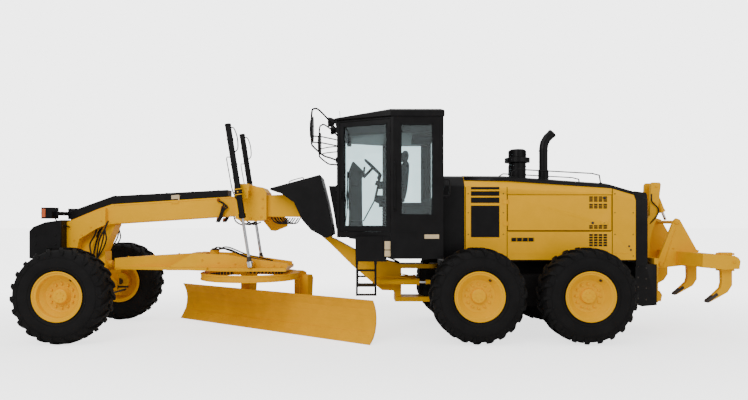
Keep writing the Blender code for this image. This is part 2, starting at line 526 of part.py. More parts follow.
# ---------------------------------------------------------------- drawbar, circle, blade
bar_plan = [(-0.10, 0.32), (0.10, 0.32), (0.14, 0.60), (0.30, 1.55), (0.52, 2.10), (0.52, 3.05), (-0.52, 3.05), (-0.52, 2.10), (-0.30, 1.55), (-0.14, 0.60)]
bar_side = [(0.20, 0.99), (0.20, 1.125), (0.86, 1.172), (1.60, 1.222), (2.10, 1.200), (2.28, 1.10), (2.60, 1.02), (3.05, 1.00), (3.05, 0.965), (2.28, 0.962), (1.60, 0.985)]
bar_cut = plate([(2.05, 1.30), (2.05, 1.20), (2.30, 1.07), (2.60, 1.02), (3.2, 1.0), (3.2, 1.4)], 0.72, 0)
piece("drawbar", "yellow", [
    plate([(0.33, 0.99), (0.33, 1.135), (0.86, 1.172), (1.75, 1.222), (1.75, 0.985), (0.60, 0.980)], 0.24, 0),
    prism(bar_plan, "z", 0.962, 1.010),
    plate([(1.20, 0.99), (1.60, 1.222), (2.10, 1.205), (2.45, 1.150), (3.05, 1.063), (3.05, 0.965), (1.20, 0.965)], 0.05, 0.30),
    plate([(1.20, 0.99), (1.60, 1.222), (2.10, 1.205), (2.45, 1.150), (3.05, 1.063), (3.05, 0.965), (1.20, 0.965)], 0.05, -0.30),
    rod((-0.466, LIFT_EYE[0], LIFT_EYE[1]), (0.466, LIFT_EYE[0], LIFT_EYE[1]), 0.040, 12),
    block(-0.14, 0.14, 1.55, 1.70, 0.985, 1.225),
    rod((0, 1.86, 1.00), (0, 1.86, 1.17), 0.11, 16),
    rod((0, 1.86, 1.10), (0, 1.86, 1.26), 0.075, 16),
], [rod((0, 0.0, BALL[2]), (0, 0.335, BALL[2]), 0.049)])
ring = turned([(0, 0.665), (0, 0.765), (0.10, 0.765), (0.10, 0.665)], (0, CIRCLE, 0.815), (0, CIRCLE, 1.0), 48)
ca, sa = math.cos(BLADE_ANGLE), math.sin(BLADE_ANGLE)


def blade_point(t, n, z):
    """From distance along the blade and distance in front of the circle's centre to (x, station, z)."""
    return (t * ca + n * sa, CIRCLE + t * sa - n * ca, z)


def blade_shape(bm):
    """A shape drawn with X along the blade and Y forwards of it, put in its place under the circle."""
    along, front = Vector((ca, sa, 0)), Vector((sa, -ca, 0))
    matrix = Matrix((along, front, Vector((0, 0, 1)))).transposed().to_4x4()
    matrix.translation = (0, CIRCLE, 0)
    made = bm.copy()
    bmesh.ops.transform(made, matrix=matrix, verts=made.verts)
    bmesh.ops.recalc_face_normals(made, faces=made.faces)
    return made


def arm_outline():
    return [(-0.12, 0.815), (-0.20, 0.93)] + arc(-0.62, 0.80, 0.14, 80, 150, 4) + [(-0.78, 0.62), (-0.72, 0.42), (-0.60, 0.36), (-0.52, 0.42), (-0.52, 0.70), (-0.40, 0.80)]


arms = []
for t in (0.55, -0.55):
    arms.append(blade_shape(prism([(-0.20, 0.82), (-0.20, 0.905), (-0.56, 0.93), (-0.64, 0.90), (-0.66, 0.83), (-0.62, 0.50), (-0.56, 0.44), (-0.48, 0.46), (-0.46, 0.60), (-0.46, 0.82)], "x", t - 0.05, t + 0.05)))
for t in (0.60, -0.74):
    arms.append(blade_shape(prism([(-0.50, 0.86), (-0.60, 0.87), (-0.635, 0.82), (-0.61, 0.52), (-0.56, 0.47), (-0.50, 0.50)], "x", t - 0.01, t + 0.15)))
piece("circle", "yellow", [ring] + arms, pivot=(0, CIRCLE, 0.86))

# moldboard section: distance forward of the circle's centre and height, an arc open to the front
TILT_N, TILT_Z = -0.235, 0.520
BLADE_FRONT, BLADE_T = 0.0927, 0.1856
section_front = [(-BLADE_FRONT + dn, z) for dn, z in ((0.0, 0.012), (-0.062, 0.080), (-0.110, 0.170), (-0.135, 0.270), (-0.139, 0.370), (-0.123, 0.470), (-0.086, 0.555), (-0.050, 0.612))]
section_back = [(n - 0.024, z + (0.012 if i == 0 else 0.0)) for i, (n, z) in enumerate(section_front)]
outline = section_front + section_back[::-1]
half = BLADE_LEN / 2
BACK = -BLADE_FRONT - 0.163
piece("moldboard", "yellow", [
    blade_shape(prism(outline, "x", BLADE_T - half, BLADE_T + half)),
    blade_shape(block(-1.30, 1.60, BACK - 0.030, BACK + 0.018, 0.420, 0.450)),
    blade_shape(block(-1.30, 1.60, BACK - 0.030, BACK + 0.022, 0.190, 0.220)),
], pivot=blade_point(0, BACK, 0.30))
brackets = []
for t in (0.42, -0.42):
    brackets.append(blade_shape(block(t - 0.05, t + 0.05, -0.440, -0.330, 0.150, 0.560)))
piece("blade_bracket", "iron", brackets + [blade_shape(block(-0.40, 0.40, -0.430, -0.380, 0.300, 0.380)),
      blade_shape(rod((-0.495, -0.40, TILT_Z), (0.495, -0.40, TILT_Z), 0.022, 12))], pivot=blade_point(0, -0.40, TILT_Z))

# ---------------------------------------------------------------- ripper at the rear
piece("ripper_mount", "yellow", [
    block(-0.50, 0.50, 8.5604, 8.62, 0.50, 1.16),
    plate([(8.60, 0.50), (8.60, 0.66), (8.70, 0.66), (8.74, 0.60), (8.72, 0.50)], 0.05, 0.36),
    plate([(8.60, 0.50), (8.60, 0.66), (8.70, 0.66), (8.74, 0.60), (8.72, 0.50)], 0.05, -0.36),
    plate([(8.57, 1.00), (8.57, 1.66), (8.675, 1.80), (8.70, 2.29), (8.72, 2.32), (8.83, 2.32), (8.85, 2.29), (8.79, 1.78), (8.71, 1.56), (8.68, 1.40), (8.68, 1.00)], 0.06, 0.10),
    plate([(8.57, 1.00), (8.57, 1.66), (8.675, 1.80), (8.70, 2.29), (8.72, 2.32), (8.83, 2.32), (8.85, 2.29), (8.79, 1.78), (8.71, 1.56), (8.68, 1.40), (8.68, 1.00)], 0.06, -0.10),
])
RIP_HINGE = (8.74, 1.05)
piece("ripper_beam", "yellow", [
    plate([(8.99, 1.06), (9.00, 1.255), (9.44, 1.228), (9.50, 1.20), (9.53, 1.15), (9.515, 1.04), (9.31, 1.03), (9.15, 1.045)], 2.0, 0),
    plate([(8.70, 1.08), (8.96, 1.72), (9.00, 1.76), (9.05, 1.74), (9.34, 1.22), (9.20, 1.05), (8.76, 1.00), (8.70, 1.02)], 0.05, 0.28),
    plate([(8.70, 1.08), (8.96, 1.72), (9.00, 1.76), (9.05, 1.74), (9.34, 1.22), (9.20, 1.05), (8.76, 1.00), (8.70, 1.02)], 0.05, -0.28),
    rod((-0.28, 9.0, 1.70), (0.28, 9.0, 1.70), 0.025, 12),
    rod((-0.28, 8.76, 1.05), (0.28, 8.76, 1.05), 0.025, 12),
] + [plate([(9.305, 1.27), (9.465, 1.27), (9.465, 0.80), (9.40, 0.70), (9.14, 0.555), (9.11, 0.58), (9.30, 0.76), (9.32, 0.84)], 0.066, x)
     for x in (0.88, 0.0, -0.88)], pivot=(0, 8.76, 1.05))
RIP_A, RIP_B = Vector((0, 8.78, 2.25)), Vector((0, 9.0, 1.70))
d = (RIP_B - RIP_A).normalized()
piece("ripper_barrel", "yellow", [
    turned([(0.04, 0), (0.04, 0.045), (0.40, 0.045), (0.40, 0.0205), (0.07, 0.0205), (0.07, 0)], RIP_A, RIP_B, 14),
    block(-0.03, 0.03, 8.755, 8.815, 2.195, 2.285),
], pivot=tuple(RIP_A))
piece("ripper_rod", "chrome", [rod(RIP_A + d * 0.15, RIP_B - d * 0.040, 0.0195, 12)], pivot=tuple(RIP_B))

# articulation cylinders, between the front frame and the rear frame
for side, word in ((1, "left"), (-1, "right")):
    piece("steer_barrel_" + word, "yellow", [
        turned([(0.04, 0), (0.04, 0.045), (0.70, 0.045), (0.70, 0.021), (0.80, 0.021), (0.80, 0.034), (0.87, 0.034), (0.87, 0)], (side * 0.30, 4.36, 0.79), (side * 0.33, 5.24, 0.79), 14),
        block(*sorted((side * 0.181, side * 0.31)), 4.37, 4.45, 0.76, 0.82),
    ])
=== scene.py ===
"""Looks of the motor grader: finishes, tyre tread, rims, glass, louvres, stripes, lamps, bolts, hoses."""

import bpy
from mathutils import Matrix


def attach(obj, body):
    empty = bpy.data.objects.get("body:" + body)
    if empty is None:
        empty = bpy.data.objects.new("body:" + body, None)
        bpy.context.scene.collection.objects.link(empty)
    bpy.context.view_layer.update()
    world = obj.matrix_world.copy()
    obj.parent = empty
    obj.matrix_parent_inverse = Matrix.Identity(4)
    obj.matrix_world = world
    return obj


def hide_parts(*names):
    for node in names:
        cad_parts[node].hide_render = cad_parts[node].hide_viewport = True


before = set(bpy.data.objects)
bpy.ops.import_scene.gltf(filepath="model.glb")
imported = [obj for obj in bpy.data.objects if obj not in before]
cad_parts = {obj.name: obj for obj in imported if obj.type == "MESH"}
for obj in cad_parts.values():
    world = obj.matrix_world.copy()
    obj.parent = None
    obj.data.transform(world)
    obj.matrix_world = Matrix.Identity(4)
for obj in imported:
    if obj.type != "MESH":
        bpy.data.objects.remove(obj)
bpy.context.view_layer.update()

import math

import bmesh
import bpy
from mathutils import Matrix, Vector

Y_MID = 4.345


def at(x, station, z):
    return Vector((x, station - Y_MID, z))


# ---------------------------------------------------------------- materials
def paint(name, colour, rough, metallic=0.0, vary=0.10, grime=(0.05, 0.04, 0.03), dirt=0.15, bump=0.02, scale=6.0, coat=0.0, low=0.0, fine=180.0, spec=0.5):
    """A worn surface: broad colour drift, grime in patches and low down, fine roughness and bump."""
    m = bpy.data.materials.new(name)
    m.use_nodes = True
    n, l = m.node_tree.nodes, m.node_tree.links
    s = n["Principled BSDF"]
    s.inputs["Metallic"].default_value = metallic
    s.inputs["Coat Weight"].default_value = coat
    s.inputs["Coat Roughness"].default_value = 0.12
    s.inputs["Specular IOR Level"].default_value = spec
    coord = n.new("ShaderNodeTexCoord")
    broad = n.new("ShaderNodeTexNoise"); broad.inputs["Scale"].default_value = scale; broad.inputs["Detail"].default_value = 6
    tiny = n.new("ShaderNodeTexNoise"); tiny.inputs["Scale"].default_value = fine; tiny.inputs["Detail"].default_value = 3
    patch = n.new("ShaderNodeTexNoise"); patch.inputs["Scale"].default_value = scale * 2.7; patch.inputs["Detail"].default_value = 9; patch.inputs["Roughness"].default_value = 0.7
    for t in (broad, tiny, patch):
        l.new(coord.outputs["Object"], t.inputs["Vector"])
    ramp = n.new("ShaderNodeValToRGB")
    ramp.color_ramp.elements[0].position, ramp.color_ramp.elements[1].position = 0.3, 0.7
    dark = [c * (1 - vary) for c in colour]; light = [min(1, c * (1 + vary * 0.6)) for c in colour]
    ramp.color_ramp.elements[0].color = (*dark, 1); ramp.color_ramp.elements[1].color = (*light, 1)
    l.new(broad.outputs["Fac"], ramp.inputs["Fac"])
    mask = n.new("ShaderNodeMapRange")
    mask.inputs["From Min"].default_value, mask.inputs["From Max"].default_value = 0.52, 0.78
    mask.inputs["To Min"].default_value, mask.inputs["To Max"].default_value = 0.0, dirt
    l.new(patch.outputs["Fac"], mask.inputs["Value"])
    split = n.new("ShaderNodeSeparateXYZ"); l.new(coord.outputs["Object"], split.inputs["Vector"])
    height = n.new("ShaderNodeMapRange")
    height.inputs["From Min"].default_value, height.inputs["From Max"].default_value = 0.0, 1.3
    height.inputs["To Min"].default_value, height.inputs["To Max"].default_value = low, 0.0
    l.new(split.outputs["Z"], height.inputs["Value"])
    total = n.new("ShaderNodeMath"); total.operation = "ADD"; total.use_clamp = True
    l.new(mask.outputs["Result"], total.inputs[0]); l.new(height.outputs["Result"], total.inputs[1])
    mix = n.new("ShaderNodeMix"); mix.data_type = "RGBA"
    l.new(total.outputs["Value"], mix.inputs["Factor"]); l.new(ramp.outputs["Color"], mix.inputs["A"])
    mix.inputs["B"].default_value = (*grime, 1)
    l.new(mix.outputs["Result"], s.inputs["Base Color"])
    r = n.new("ShaderNodeMapRange")
    r.inputs["To Min"].default_value, r.inputs["To Max"].default_value = rough * 0.75, min(1, rough * 1.3)
    l.new(patch.outputs["Fac"], r.inputs["Value"]); l.new(r.outputs["Result"], s.inputs["Roughness"])
    b = n.new("ShaderNodeBump"); b.inputs["Strength"].default_value = bump * 5; b.inputs["Distance"].default_value = 0.001
    l.new(tiny.outputs["Fac"], b.inputs["Height"]); l.new(b.outputs["Normal"], s.inputs["Normal"])
    return m


YELLOW = paint("machine_yellow", (0.79, 0.385, 0.0002), 0.34, vary=0.04, dirt=0.05, low=0.05, grime=(0.30, 0.13, 0.004), spec=0.10)
# Darker, more orange copy of the yellow for the low parts and small fittings: partly painted shade, partly real wear
# (rougher, dirtier).
YELLOW_LOW = paint("machine_yellow_worn_and_shaded", (0.76, 0.355, 0.0003), 0.40, vary=0.07, dirt=0.10, low=0.05, grime=(0.30, 0.13, 0.006), spec=0.10)
BLACK = paint("satin_black", (0.0062, 0.0058, 0.0062), 0.34, vary=0.3, dirt=0.12, grime=(0.018, 0.014, 0.010), spec=0.13)
CHASSIS = paint("chassis_black", (0.0060, 0.0054, 0.0055), 0.55, vary=0.35, dirt=0.28, grime=(0.022, 0.015, 0.010), low=0.12, spec=0.10)
RUBBER = paint("tyre_rubber", (0.0070, 0.0066, 0.0068), 0.66, vary=0.25, dirt=0.18, grime=(0.020, 0.017, 0.014), low=0.05, fine=420, bump=0.06, spec=0.10)
CHROME = paint("polished_rod", (0.72, 0.72, 0.74), 0.14, 1.0, vary=0.05, dirt=0.1, fine=500, bump=0.004)
IRON = paint("oily_iron", (0.055, 0.048, 0.043), 0.55, 0.5, vary=0.35, dirt=0.4, grime=(0.10, 0.05, 0.025), spec=0.2)
TRIM = paint("cab_trim", (0.010, 0.011, 0.012), 0.70, vary=0.2, dirt=0.1, fine=350, bump=0.05, spec=0.12)
FABRIC = paint("seat_cloth", (0.012, 0.015, 0.018), 0.9, vary=0.3, dirt=0.1, fine=700, bump=0.2, spec=0.05)
HOSE = paint("hose_rubber", (0.010, 0.009, 0.009), 0.5, vary=0.2, dirt=0.25, fine=300, spec=0.15, grime=(0.05, 0.025, 0.012))
STEEL = paint("cutting_edge", (0.30, 0.24, 0.16), 0.45, 0.7, vary=0.3, dirt=0.4, grime=(0.20, 0.12, 0.05))
RUST = paint("rust_brown", (0.30, 0.075, 0.015), 0.6, 0.1, vary=0.3, dirt=0.4, grime=(0.10, 0.03, 0.01), spec=0.15)
LENS = paint("lamp_lens", (0.75, 0.77, 0.78), 0.12, 0.3, vary=0.1, dirt=0.05, coat=0.6)
AMBER = paint("turn_lens", (0.55, 0.10, 0.02), 0.15, vary=0.1, dirt=0.05, coat=0.4)
RED = paint("tail_lens", (0.45, 0.01, 0.008), 0.15, vary=0.1, dirt=0.05, coat=0.4)
BEIGE = paint("blank_plate", (0.60, 0.46, 0.26), 0.5, vary=0.08, dirt=0.15)
GREY = paint("grey_metal", (0.25, 0.25, 0.26), 0.4, 0.6, vary=0.2, dirt=0.2)
MIRROR = paint("mirror_face", (0.70, 0.74, 0.76), 0.06, 1.0, vary=0.02, dirt=0.03, fine=500, bump=0.002)


def glass(name, colour, rough, trans):
    m = paint(name, colour, rough, vary=0.03, dirt=0.04, bump=0.002, grime=(0.35, 0.36, 0.36))
    s = m.node_tree.nodes["Principled BSDF"]
    s.inputs["Transmission Weight"].default_value = trans
    s.inputs["IOR"].default_value = 1.45
    return m


GLASS = glass("tinted_glass", (0.80, 0.945, 0.96), 0.02, 1.0)

NODE_LOOK = {
    YELLOW: ["engine_hood", "engine_door_left", "engine_door_right", "front_frame", "lift_saddle", "drawbar", "ripper_mount", "ripper_beam", "ripper_barrel", "steer_barrel_left", "steer_barrel_right"],
    YELLOW_LOW: ["circle", "moldboard", "front_axle", "lean_carrier_left", "lean_carrier_right", "lean_bar"],
    BLACK: ["exhaust_stack", "hood_rail_left", "hood_rail_right", "rear_bulkhead", "radiator_guard", "precleaner", "cab_shell", "cab_roof", "cab_door_left", "cab_door_right", "hose_cover", "push_block", "headlights", "hydraulic_cover", "lift_barrel_left", "lift_barrel_right"],
    CHASSIS: ["rear_frame", "tandem_case_left", "tandem_case_right"],
    CHROME: ["lift_rod_left", "lift_rod_right", "ripper_rod"],
    IRON: ["engine_block", "knuckle_left", "knuckle_right", "blade_bracket", "tie_rod"],
    TRIM: ["operator_seat", "steering_console", "mirror_arm_left", "mirror_arm_right"],
}
for look, names in NODE_LOOK.items():
    for name in names:
        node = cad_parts[name]
        node.data.materials.clear()
        node.data.materials.append(look)


# ---------------------------------------------------------------- mesh helpers
def finish_mesh(name, bm, look, body, smooth=35, bevel=0.0, segments=2):
    bmesh.ops.remove_doubles(bm, verts=bm.verts, dist=1e-6)
    bmesh.ops.recalc_face_normals(bm, faces=bm.faces)
    mesh = bpy.data.meshes.new(name)
    bm.to_mesh(mesh); bm.free()
    mesh.shade_smooth(); mesh.set_sharp_from_angle(angle=math.radians(smooth))
    mesh.materials.append(look)
    obj = bpy.data.objects.new(name, mesh)
    bpy.context.collection.objects.link(obj)
    if bevel:
        mod = obj.modifiers.new("edge", "BEVEL"); mod.width = bevel; mod.segments = segments; mod.limit_method = "ANGLE"; mod.angle_limit = math.radians(35)
    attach(obj, body)
    return obj


def add_prism(bm, points, depth_vec):
    """Closed outline of 3-D points pushed along a vector."""
    a = [bm.verts.new(p) for p in points]
    b = [bm.verts.new(Vector(p) + Vector(depth_vec)) for p in points]
    bm.faces.new(a); bm.faces.new(b[::-1])
    k = len(a)
    for i in range(k):
        bm.faces.new((a[i], b[i], b[(i + 1) % k], a[(i + 1) % k]))


def add_box(bm, lo, hi):
    lo, hi = Vector(lo), Vector(hi)
    add_prism(bm, [(lo.x, lo.y, lo.z), (hi.x, lo.y, lo.z), (hi.x, hi.y, lo.z), (lo.x, hi.y, lo.z)], (0, 0, hi.z - lo.z))


def side_box(bm, x0, x1, s0, s1, z0, z1):
    a, b = at(x0, s0, z0), at(x1, s1, z1)
    add_box(bm, [min(a[i], b[i]) for i in range(3)], [max(a[i], b[i]) for i in range(3)])


def add_lathe(bm, centre, axis, profile, segments=48):
    """Profile of (along, radius) turned round axis through centre."""
    axis = Vector(axis).normalized(); u = axis.orthogonal().normalized(); v = axis.cross(u)
    rings = []
    for along, radius in profile:
        if radius < 1e-6:
            rings.append([bm.verts.new(Vector(centre) + axis * along)])
        else:
            rings.append([bm.verts.new(Vector(centre) + axis * along + radius * (math.cos(2 * math.pi * i / segments) * u + math.sin(2 * math.pi * i / segments) * v)) for i in range(segments)])
    for a, b in zip(rings, rings[1:]):
        for i in range(segments):
            j = (i + 1) % segments
            c = []
            for p in (a[i % len(a)], a[j % len(a)], b[j % len(b)], b[i % len(b)]):
                if p not in c: c.append(p)
            if len(c) > 2: bm.faces.new(c)


def add_tube(bm, points, radius, segments=10):
    points = [Vector(p) for p in points]
    side = (points[1] - points[0]).orthogonal().normalized()
    rings = []
    for i, p in enumerate(points):
        way = (points[min(i + 1, len(points) - 1)] - points[max(i - 1, 0)]).normalized()
        side = (side - way * side.dot(way)).normalized(); up = way.cross(side)
        rings.append([bm.verts.new(p + radius * (math.cos(2 * math.pi * k / segments) * side + math.sin(2 * math.pi * k / segments) * up)) for k in range(segments)])
    bm.faces.new(rings[0][::-1]); bm.faces.new(rings[-1])
    for a, b in zip(rings, rings[1:]):
        for i in range(segments):
            bm.faces.new((a[i], a[(i + 1) % segments], b[(i + 1) % segments], b[i]))


def smooth_path(points, steps=8):
    """Catmull-Rom curve through the points."""
    points = [Vector(p) for p in points]
    full = [points[0] * 2 - points[1]] + points + [points[-1] * 2 - points[-2]]
    made = []
    for a, b, c, d in zip(full, full[1:], full[2:], full[3:]):
        for i in range(steps):
            t = i / steps
            made.append(0.5 * ((2 * b) + (c - a) * t + (2 * a - 5 * b + 4 * c - d) * t * t + (3 * b - 3 * c + d - a) * t ** 3))
    return made + [points[-1]]


# ---------------------------------------------------------------- tyres and rims
R, W = 0.674, 0.445
WHEELS = [("front_left", 1, 0.0, "front_wheel_left"), ("front_right", -1, 0.0, "front_wheel_right"),
          ("mid_left", 1, 5.8085, "mid_wheel_left"), ("mid_right", -1, 5.8085, "mid_wheel_right"),
          ("rear_left", 1, 7.3335, "rear_wheel_left"), ("rear_right", -1, 7.3335, "rear_wheel_right")]
CARCASS = [(0.0, 0.644), (0.10, 0.642), (0.165, 0.632), (0.196, 0.612), (0.210, 0.575), (0.2195, 0.52), (0.2215, 0.470), (0.2165, 0.425), (0.206, 0.390), (0.198, 0.372), (0.190, 0.366), (0.180, 0.352), (0.176, 0.330), (0.176, 0.3196)]
LUGS = 22
for name, side, station, body in WHEELS:
    centre = at(side * 1.03, station, R)
    bm = bmesh.new()
    profile = [(a, r) for a, r in CARCASS[::-1]] + [(-a, r) for a, r in CARCASS[1:]]
    add_lathe(bm, centre, (1, 0, 0), profile + [profile[0]], 72)
    # raised rings on the sidewall
    for s in (1, -1):
        for rr, aa in ((0.545, 0.2165), (0.405, 0.2115)):
            add_lathe(bm, centre, (1, 0, 0), [(s * (aa - 0.006), rr - 0.006), (s * (aa + 0.0035), rr - 0.003), (s * (aa + 0.0035), rr + 0.003), (s * (aa - 0.006), rr + 0.006)], 72)
    # directional lugs: each a bent bar from the middle to the shoulder, then down it
    for k in range(LUGS):
        for s in (1, -1):
            base = 2 * math.pi * (k + (0.5 if s < 0 else 0)) / LUGS
            # across, sweep along the tread, top radius, half thickness in angle
            stations = [(-0.012, -0.060, 0.672, 0.050), (0.06, -0.02, 0.6735, 0.046), (0.13, 0.045, 0.670, 0.048), (0.190, 0.105, 0.654, 0.052), (0.216, 0.125, 0.622, 0.050), (0.2205, 0.135, 0.575, 0.040)]
            rings = []
            for across, sweep, top, half_t in stations:
                low = 0.60 if across < 0.2 else top - 0.03
                ring = []
                for dr, da in ((0, -1), (0, 1), (1, 0.72), (1, -0.72)):
                    radius = low if dr == 0 else top
                    inward = 0.030 if (dr == 0 and across >= 0.2) else 0.0
                    angle = base + sweep + da * half_t
                    ring.append(bm.verts.new(centre + Vector((s * (across - inward), math.sin(angle) * radius, math.cos(angle) * radius))))
                rings.append(ring)
            bm.faces.new(rings[0]); bm.faces.new(rings[-1][::-1])
            for a, b in zip(rings, rings[1:]):
                for i in range(4):
                    bm.faces.new((a[i], b[i], b[(i + 1) % 4], a[(i + 1) % 4]))
    tyre = finish_mesh("tread_tyre_" + name, bm, RUBBER, body, smooth=32)
    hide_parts("tyre_" + name)

    # rim: dished disc, flange, lock ring, nuts, valve
    bm = bmesh.new()
    out = side
    disc = 0.10 if "front" in name else 0.135
    prof = [(0.125, 0.0), (0.125, 0.085), (0.118, 0.098), (0.075, 0.108), (disc - 0.055, 0.130), (disc - 0.055, 0.205), (disc - 0.045, 0.228), (disc, 0.262), (disc + 0.020, 0.284),
            (0.178, 0.296), (0.186, 0.306), (0.186, 0.322), (0.196, 0.329), (0.204, 0.336), (0.2045, 0.346), (0.201, 0.3515), (0.195, 0.3515), (0.190, 0.343), (0.181, 0.3188),
            (-0.181, 0.3188), (-0.190, 0.343), (-0.196, 0.3515), (-0.203, 0.3515), (-0.204, 0.335), (-0.186, 0.300), (-0.120, 0.286), (-0.02, 0.262), (-0.01, 0.15), (-0.148, 0.148), (-0.148, 0.0)]
    add_lathe(bm, centre, (out, 0, 0), prof, 64)
    face = disc - 0.055
    for k in range(12):
        a = 2 * math.pi * k / 12
        p = centre + Vector((out * face, math.sin(a) * 0.168, math.cos(a) * 0.168))
        add_lathe(bm, p, (out, 0, 0), [(-0.01, 0.0), (-0.01, 0.020), (0.004, 0.020), (0.005, 0.0165), (0.022, 0.0165), (0.026, 0.012), (0.026, 0.0)], 6)
    for k in range(6):
        a = 2 * math.pi * (k + 0.25) / 6
        p = centre + Vector((out * 0.118, math.sin(a) * 0.052, math.cos(a) * 0.052))
        add_lathe(bm, p, (out, 0, 0), [(-0.01, 0.0), (-0.01, 0.012), (0.016, 0.011), (0.016, 0.0)], 6)
    rim = finish_mesh("rim_face_" + name, bm, YELLOW, body, smooth=28)
    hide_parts("rim_" + name)
    bm = bmesh.new()
    for a in (0.6,):
        p = centre + Vector((out * (disc + 0.012), math.sin(a) * 0.270, math.cos(a) * 0.270))
        add_lathe(bm, p, (out, 0, 0), [(-0.03, 0.0), (-0.03, 0.020), (0.006, 0.020), (0.008, 0.016), (-0.01, 0.008), (0.03, 0.006), (0.03, 0.0)], 12)
    finish_mesh("valve_" + name, bm, IRON, body)

# ---------------------------------------------------------------- hood: black bars, blank panel, louvres, seams
for side, word in ((1, "left"), (-1, "right")):
    x = side * 0.600
    bm = bmesh.new()
    # low and high edge of each black bar
    for z0, z1 in ((2.184, 2.221), (2.090, 2.157), (1.985, 2.065)):
        side_box(bm, x - side * 0.002, x + side * 0.0035, 5.80, 6.22, z0, z1)
    side_box(bm, x - side * 0.002, x + side * 0.0035, 5.80, 6.22, 1.478, 1.945)
    finish_mesh("black_bars_" + word, bm, BLACK, "chassis", bevel=0.002)
    bm = bmesh.new()
    # seams of the fixed panels
    for s in (6.335, 7.89):
        side_box(bm, x - side * 0.004, x + side * 0.0012, s - 0.004, s + 0.004, 1.15, 2.22)
    side_box(bm, x + side * 0.0005, x + side * 0.0022, 6.35, 7.87, 1.562, 1.570)
    side_box(bm, x - side * 0.004, x + side * 0.0012, 5.712, 5.722, 1.15, 2.22)
    finish_mesh("panel_seams_" + word, bm, CHASSIS, "chassis")
    # louvres: (low z, high z, first station, last station, rows)
    for name, body, blocks in (("louvres_", "engine_door_" + word, ((2.00, 2.085, 3), (1.90, 1.975, 3), (1.60, 1.66, 2))), ("low_louvres_", "chassis", ((1.34, 1.53, 5),))):
        bm = bmesh.new()
        for z0, z1, rows in blocks:
            for r in range(rows):
                z = z0 + (z1 - z0) * (r + 0.5) / rows
                for c in range(4):
                    s = 7.54 + 0.28 * (c + 0.5) / 4
                    h = (z1 - z0) / rows * 0.36
                    side_box(bm, x - side * 0.003, x + side * 0.0025, s - 0.026, s + 0.026, z - h, z + h)
        finish_mesh(name + word, bm, BLACK, body)

# black top band of the hood and its edge
bm = bmesh.new()
tops = [(5.71, 2.4035), (6.34, 2.4005), (7.90, 2.290), (8.235, 2.192)]
for (s0, z0), (s1, z1) in zip(tops, tops[1:]):
    for side in (1, -1):
        for (xa, da), (xb, db) in (((0.0, 0.0), (0.32, 0.0)), ((0.32, 0.0), (0.50, 0.030)), ((0.50, 0.030), (0.542, 0.086))):
            up = 0.003
            pts = [at(side * xa, s0, z0 - da + up), at(side * xb, s0, z0 - db + up), at(side * xb, s1, z1 - db + up), at(side * xa, s1, z1 - da + up)]
            vs = [bm.verts.new(p) for p in pts]
            bm.faces.new(vs if side > 0 else vs[::-1])
top = finish_mesh("hood_top_band", bm, BLACK, "chassis", smooth=20)
solid = top.modifiers.new("thick", "SOLIDIFY"); solid.thickness = 0.004; solid.offset = -1

# ---------------------------------------------------------------- cab glass
DOOR_A, DOOR_B = Vector((0.42, 3.810)), Vector((0.82, 4.640))
for side, word in ((1, "left"), (-1, "right")):
    p, q = Vector((side * DOOR_A.x, DOOR_A.y)), Vector((side * DOOR_B.x, DOOR_B.y))
    way = (q - p).normalized(); normal = Vector((way.y, -way.x)) * side
    length = (q - p).length
    bm = bmesh.new()
    c = [p + way * 0.090 - normal * 0.018, p + way * (length - 0.090) - normal * 0.018, p + way * (length - 0.090) - normal * 0.024, p + way * 0.090 - normal * 0.024]
    add_prism(bm, [at(v.x, v.y, 1.61) for v in c], (0, 0, 1.54))
    finish_mesh("door_pane_" + word, bm, GLASS, "cab_door_" + word)
    bm = bmesh.new()
    side_box(bm, side * 0.795, side * 0.801, 4.735, 5.295, 1.79, 3.13)
    finish_mesh("side_pane_" + word, bm, GLASS, "chassis")
bm = bmesh.new(); side_box(bm, -0.37, 0.37, 3.832, 3.838, 1.61, 3.17)
finish_mesh("front_pane", bm, GLASS, "chassis")
bm = bmesh.new(); side_box(bm, -0.75, 0.75, 5.338, 5.344, 2.04, 3.17)
finish_mesh("rear_pane", bm, GLASS, "chassis")

# ---------------------------------------------------------------- lamps
bm = bmesh.new(); bm2 = bmesh.new()
for side in (1, -1):
    add_lathe(bm, at(side * 0.40, -0.605, 1.838), (0, -1, 0), [(0.0, 0.072), (0.010, 0.072), (0.014, 0.060), (0.016, 0.0)], 28)
    side_box(bm2, side * 0.498, side * 0.506, -0.60, -0.545, 1.775, 1.900)
finish_mesh("head_lamp_lenses", bm, LENS, "front")
finish_mesh("turn_lenses", bm2, AMBER, "front", bevel=0.003)

# ---------------------------------------------------------------- moldboard cutting edge and bolts
ca, sa = math.cos(math.radians(55.4)), math.sin(math.radians(55.4))


def blade(t, n, z):
    return at(t * ca + n * sa, 2.434 + t * sa - n * ca, z)


bm = bmesh.new()
t0, t1 = 0.1856 - 2.018, 0.1856 + 2.018
front = [(-0.0927 + 0.006, 0.004), (-0.0927 - 0.058 + 0.007, 0.080), (-0.0927 - 0.098 + 0.008, 0.150), (-0.0927 - 0.103, 0.150), (-0.0927 - 0.064, 0.078), (-0.0927 - 0.003, 0.004)]
add_prism(bm, [blade(t0, n, z) for n, z in front], blade(t1, 0, 0) - blade(t0, 0, 0))
for i in range(26):
    t = t0 + (t1 - t0) * (i + 0.5) / 26
    add_lathe(bm, blade(t, -0.0927 - 0.078 + 0.008, 0.112), Vector((sa, -ca, 0.3)), [(-0.01, 0.0), (-0.01, 0.016), (0.004, 0.014), (0.006, 0.0)], 10)
finish_mesh("cutting_edge_strip", bm, YELLOW_LOW, "moldboard", bevel=0.001)
bm = bmesh.new()
foot = [(-0.0927 + 0.0075, 0.003), (-0.0927 - 0.008, 0.016), (-0.0927 - 0.014, 0.012), (-0.0927 - 0.004, 0.003)]
add_prism(bm, [blade(t0, n, z) for n, z in foot], blade(t1, 0, 0) - blade(t0, 0, 0))
finish_mesh("worn_edge", bm, STEEL, "moldboard")

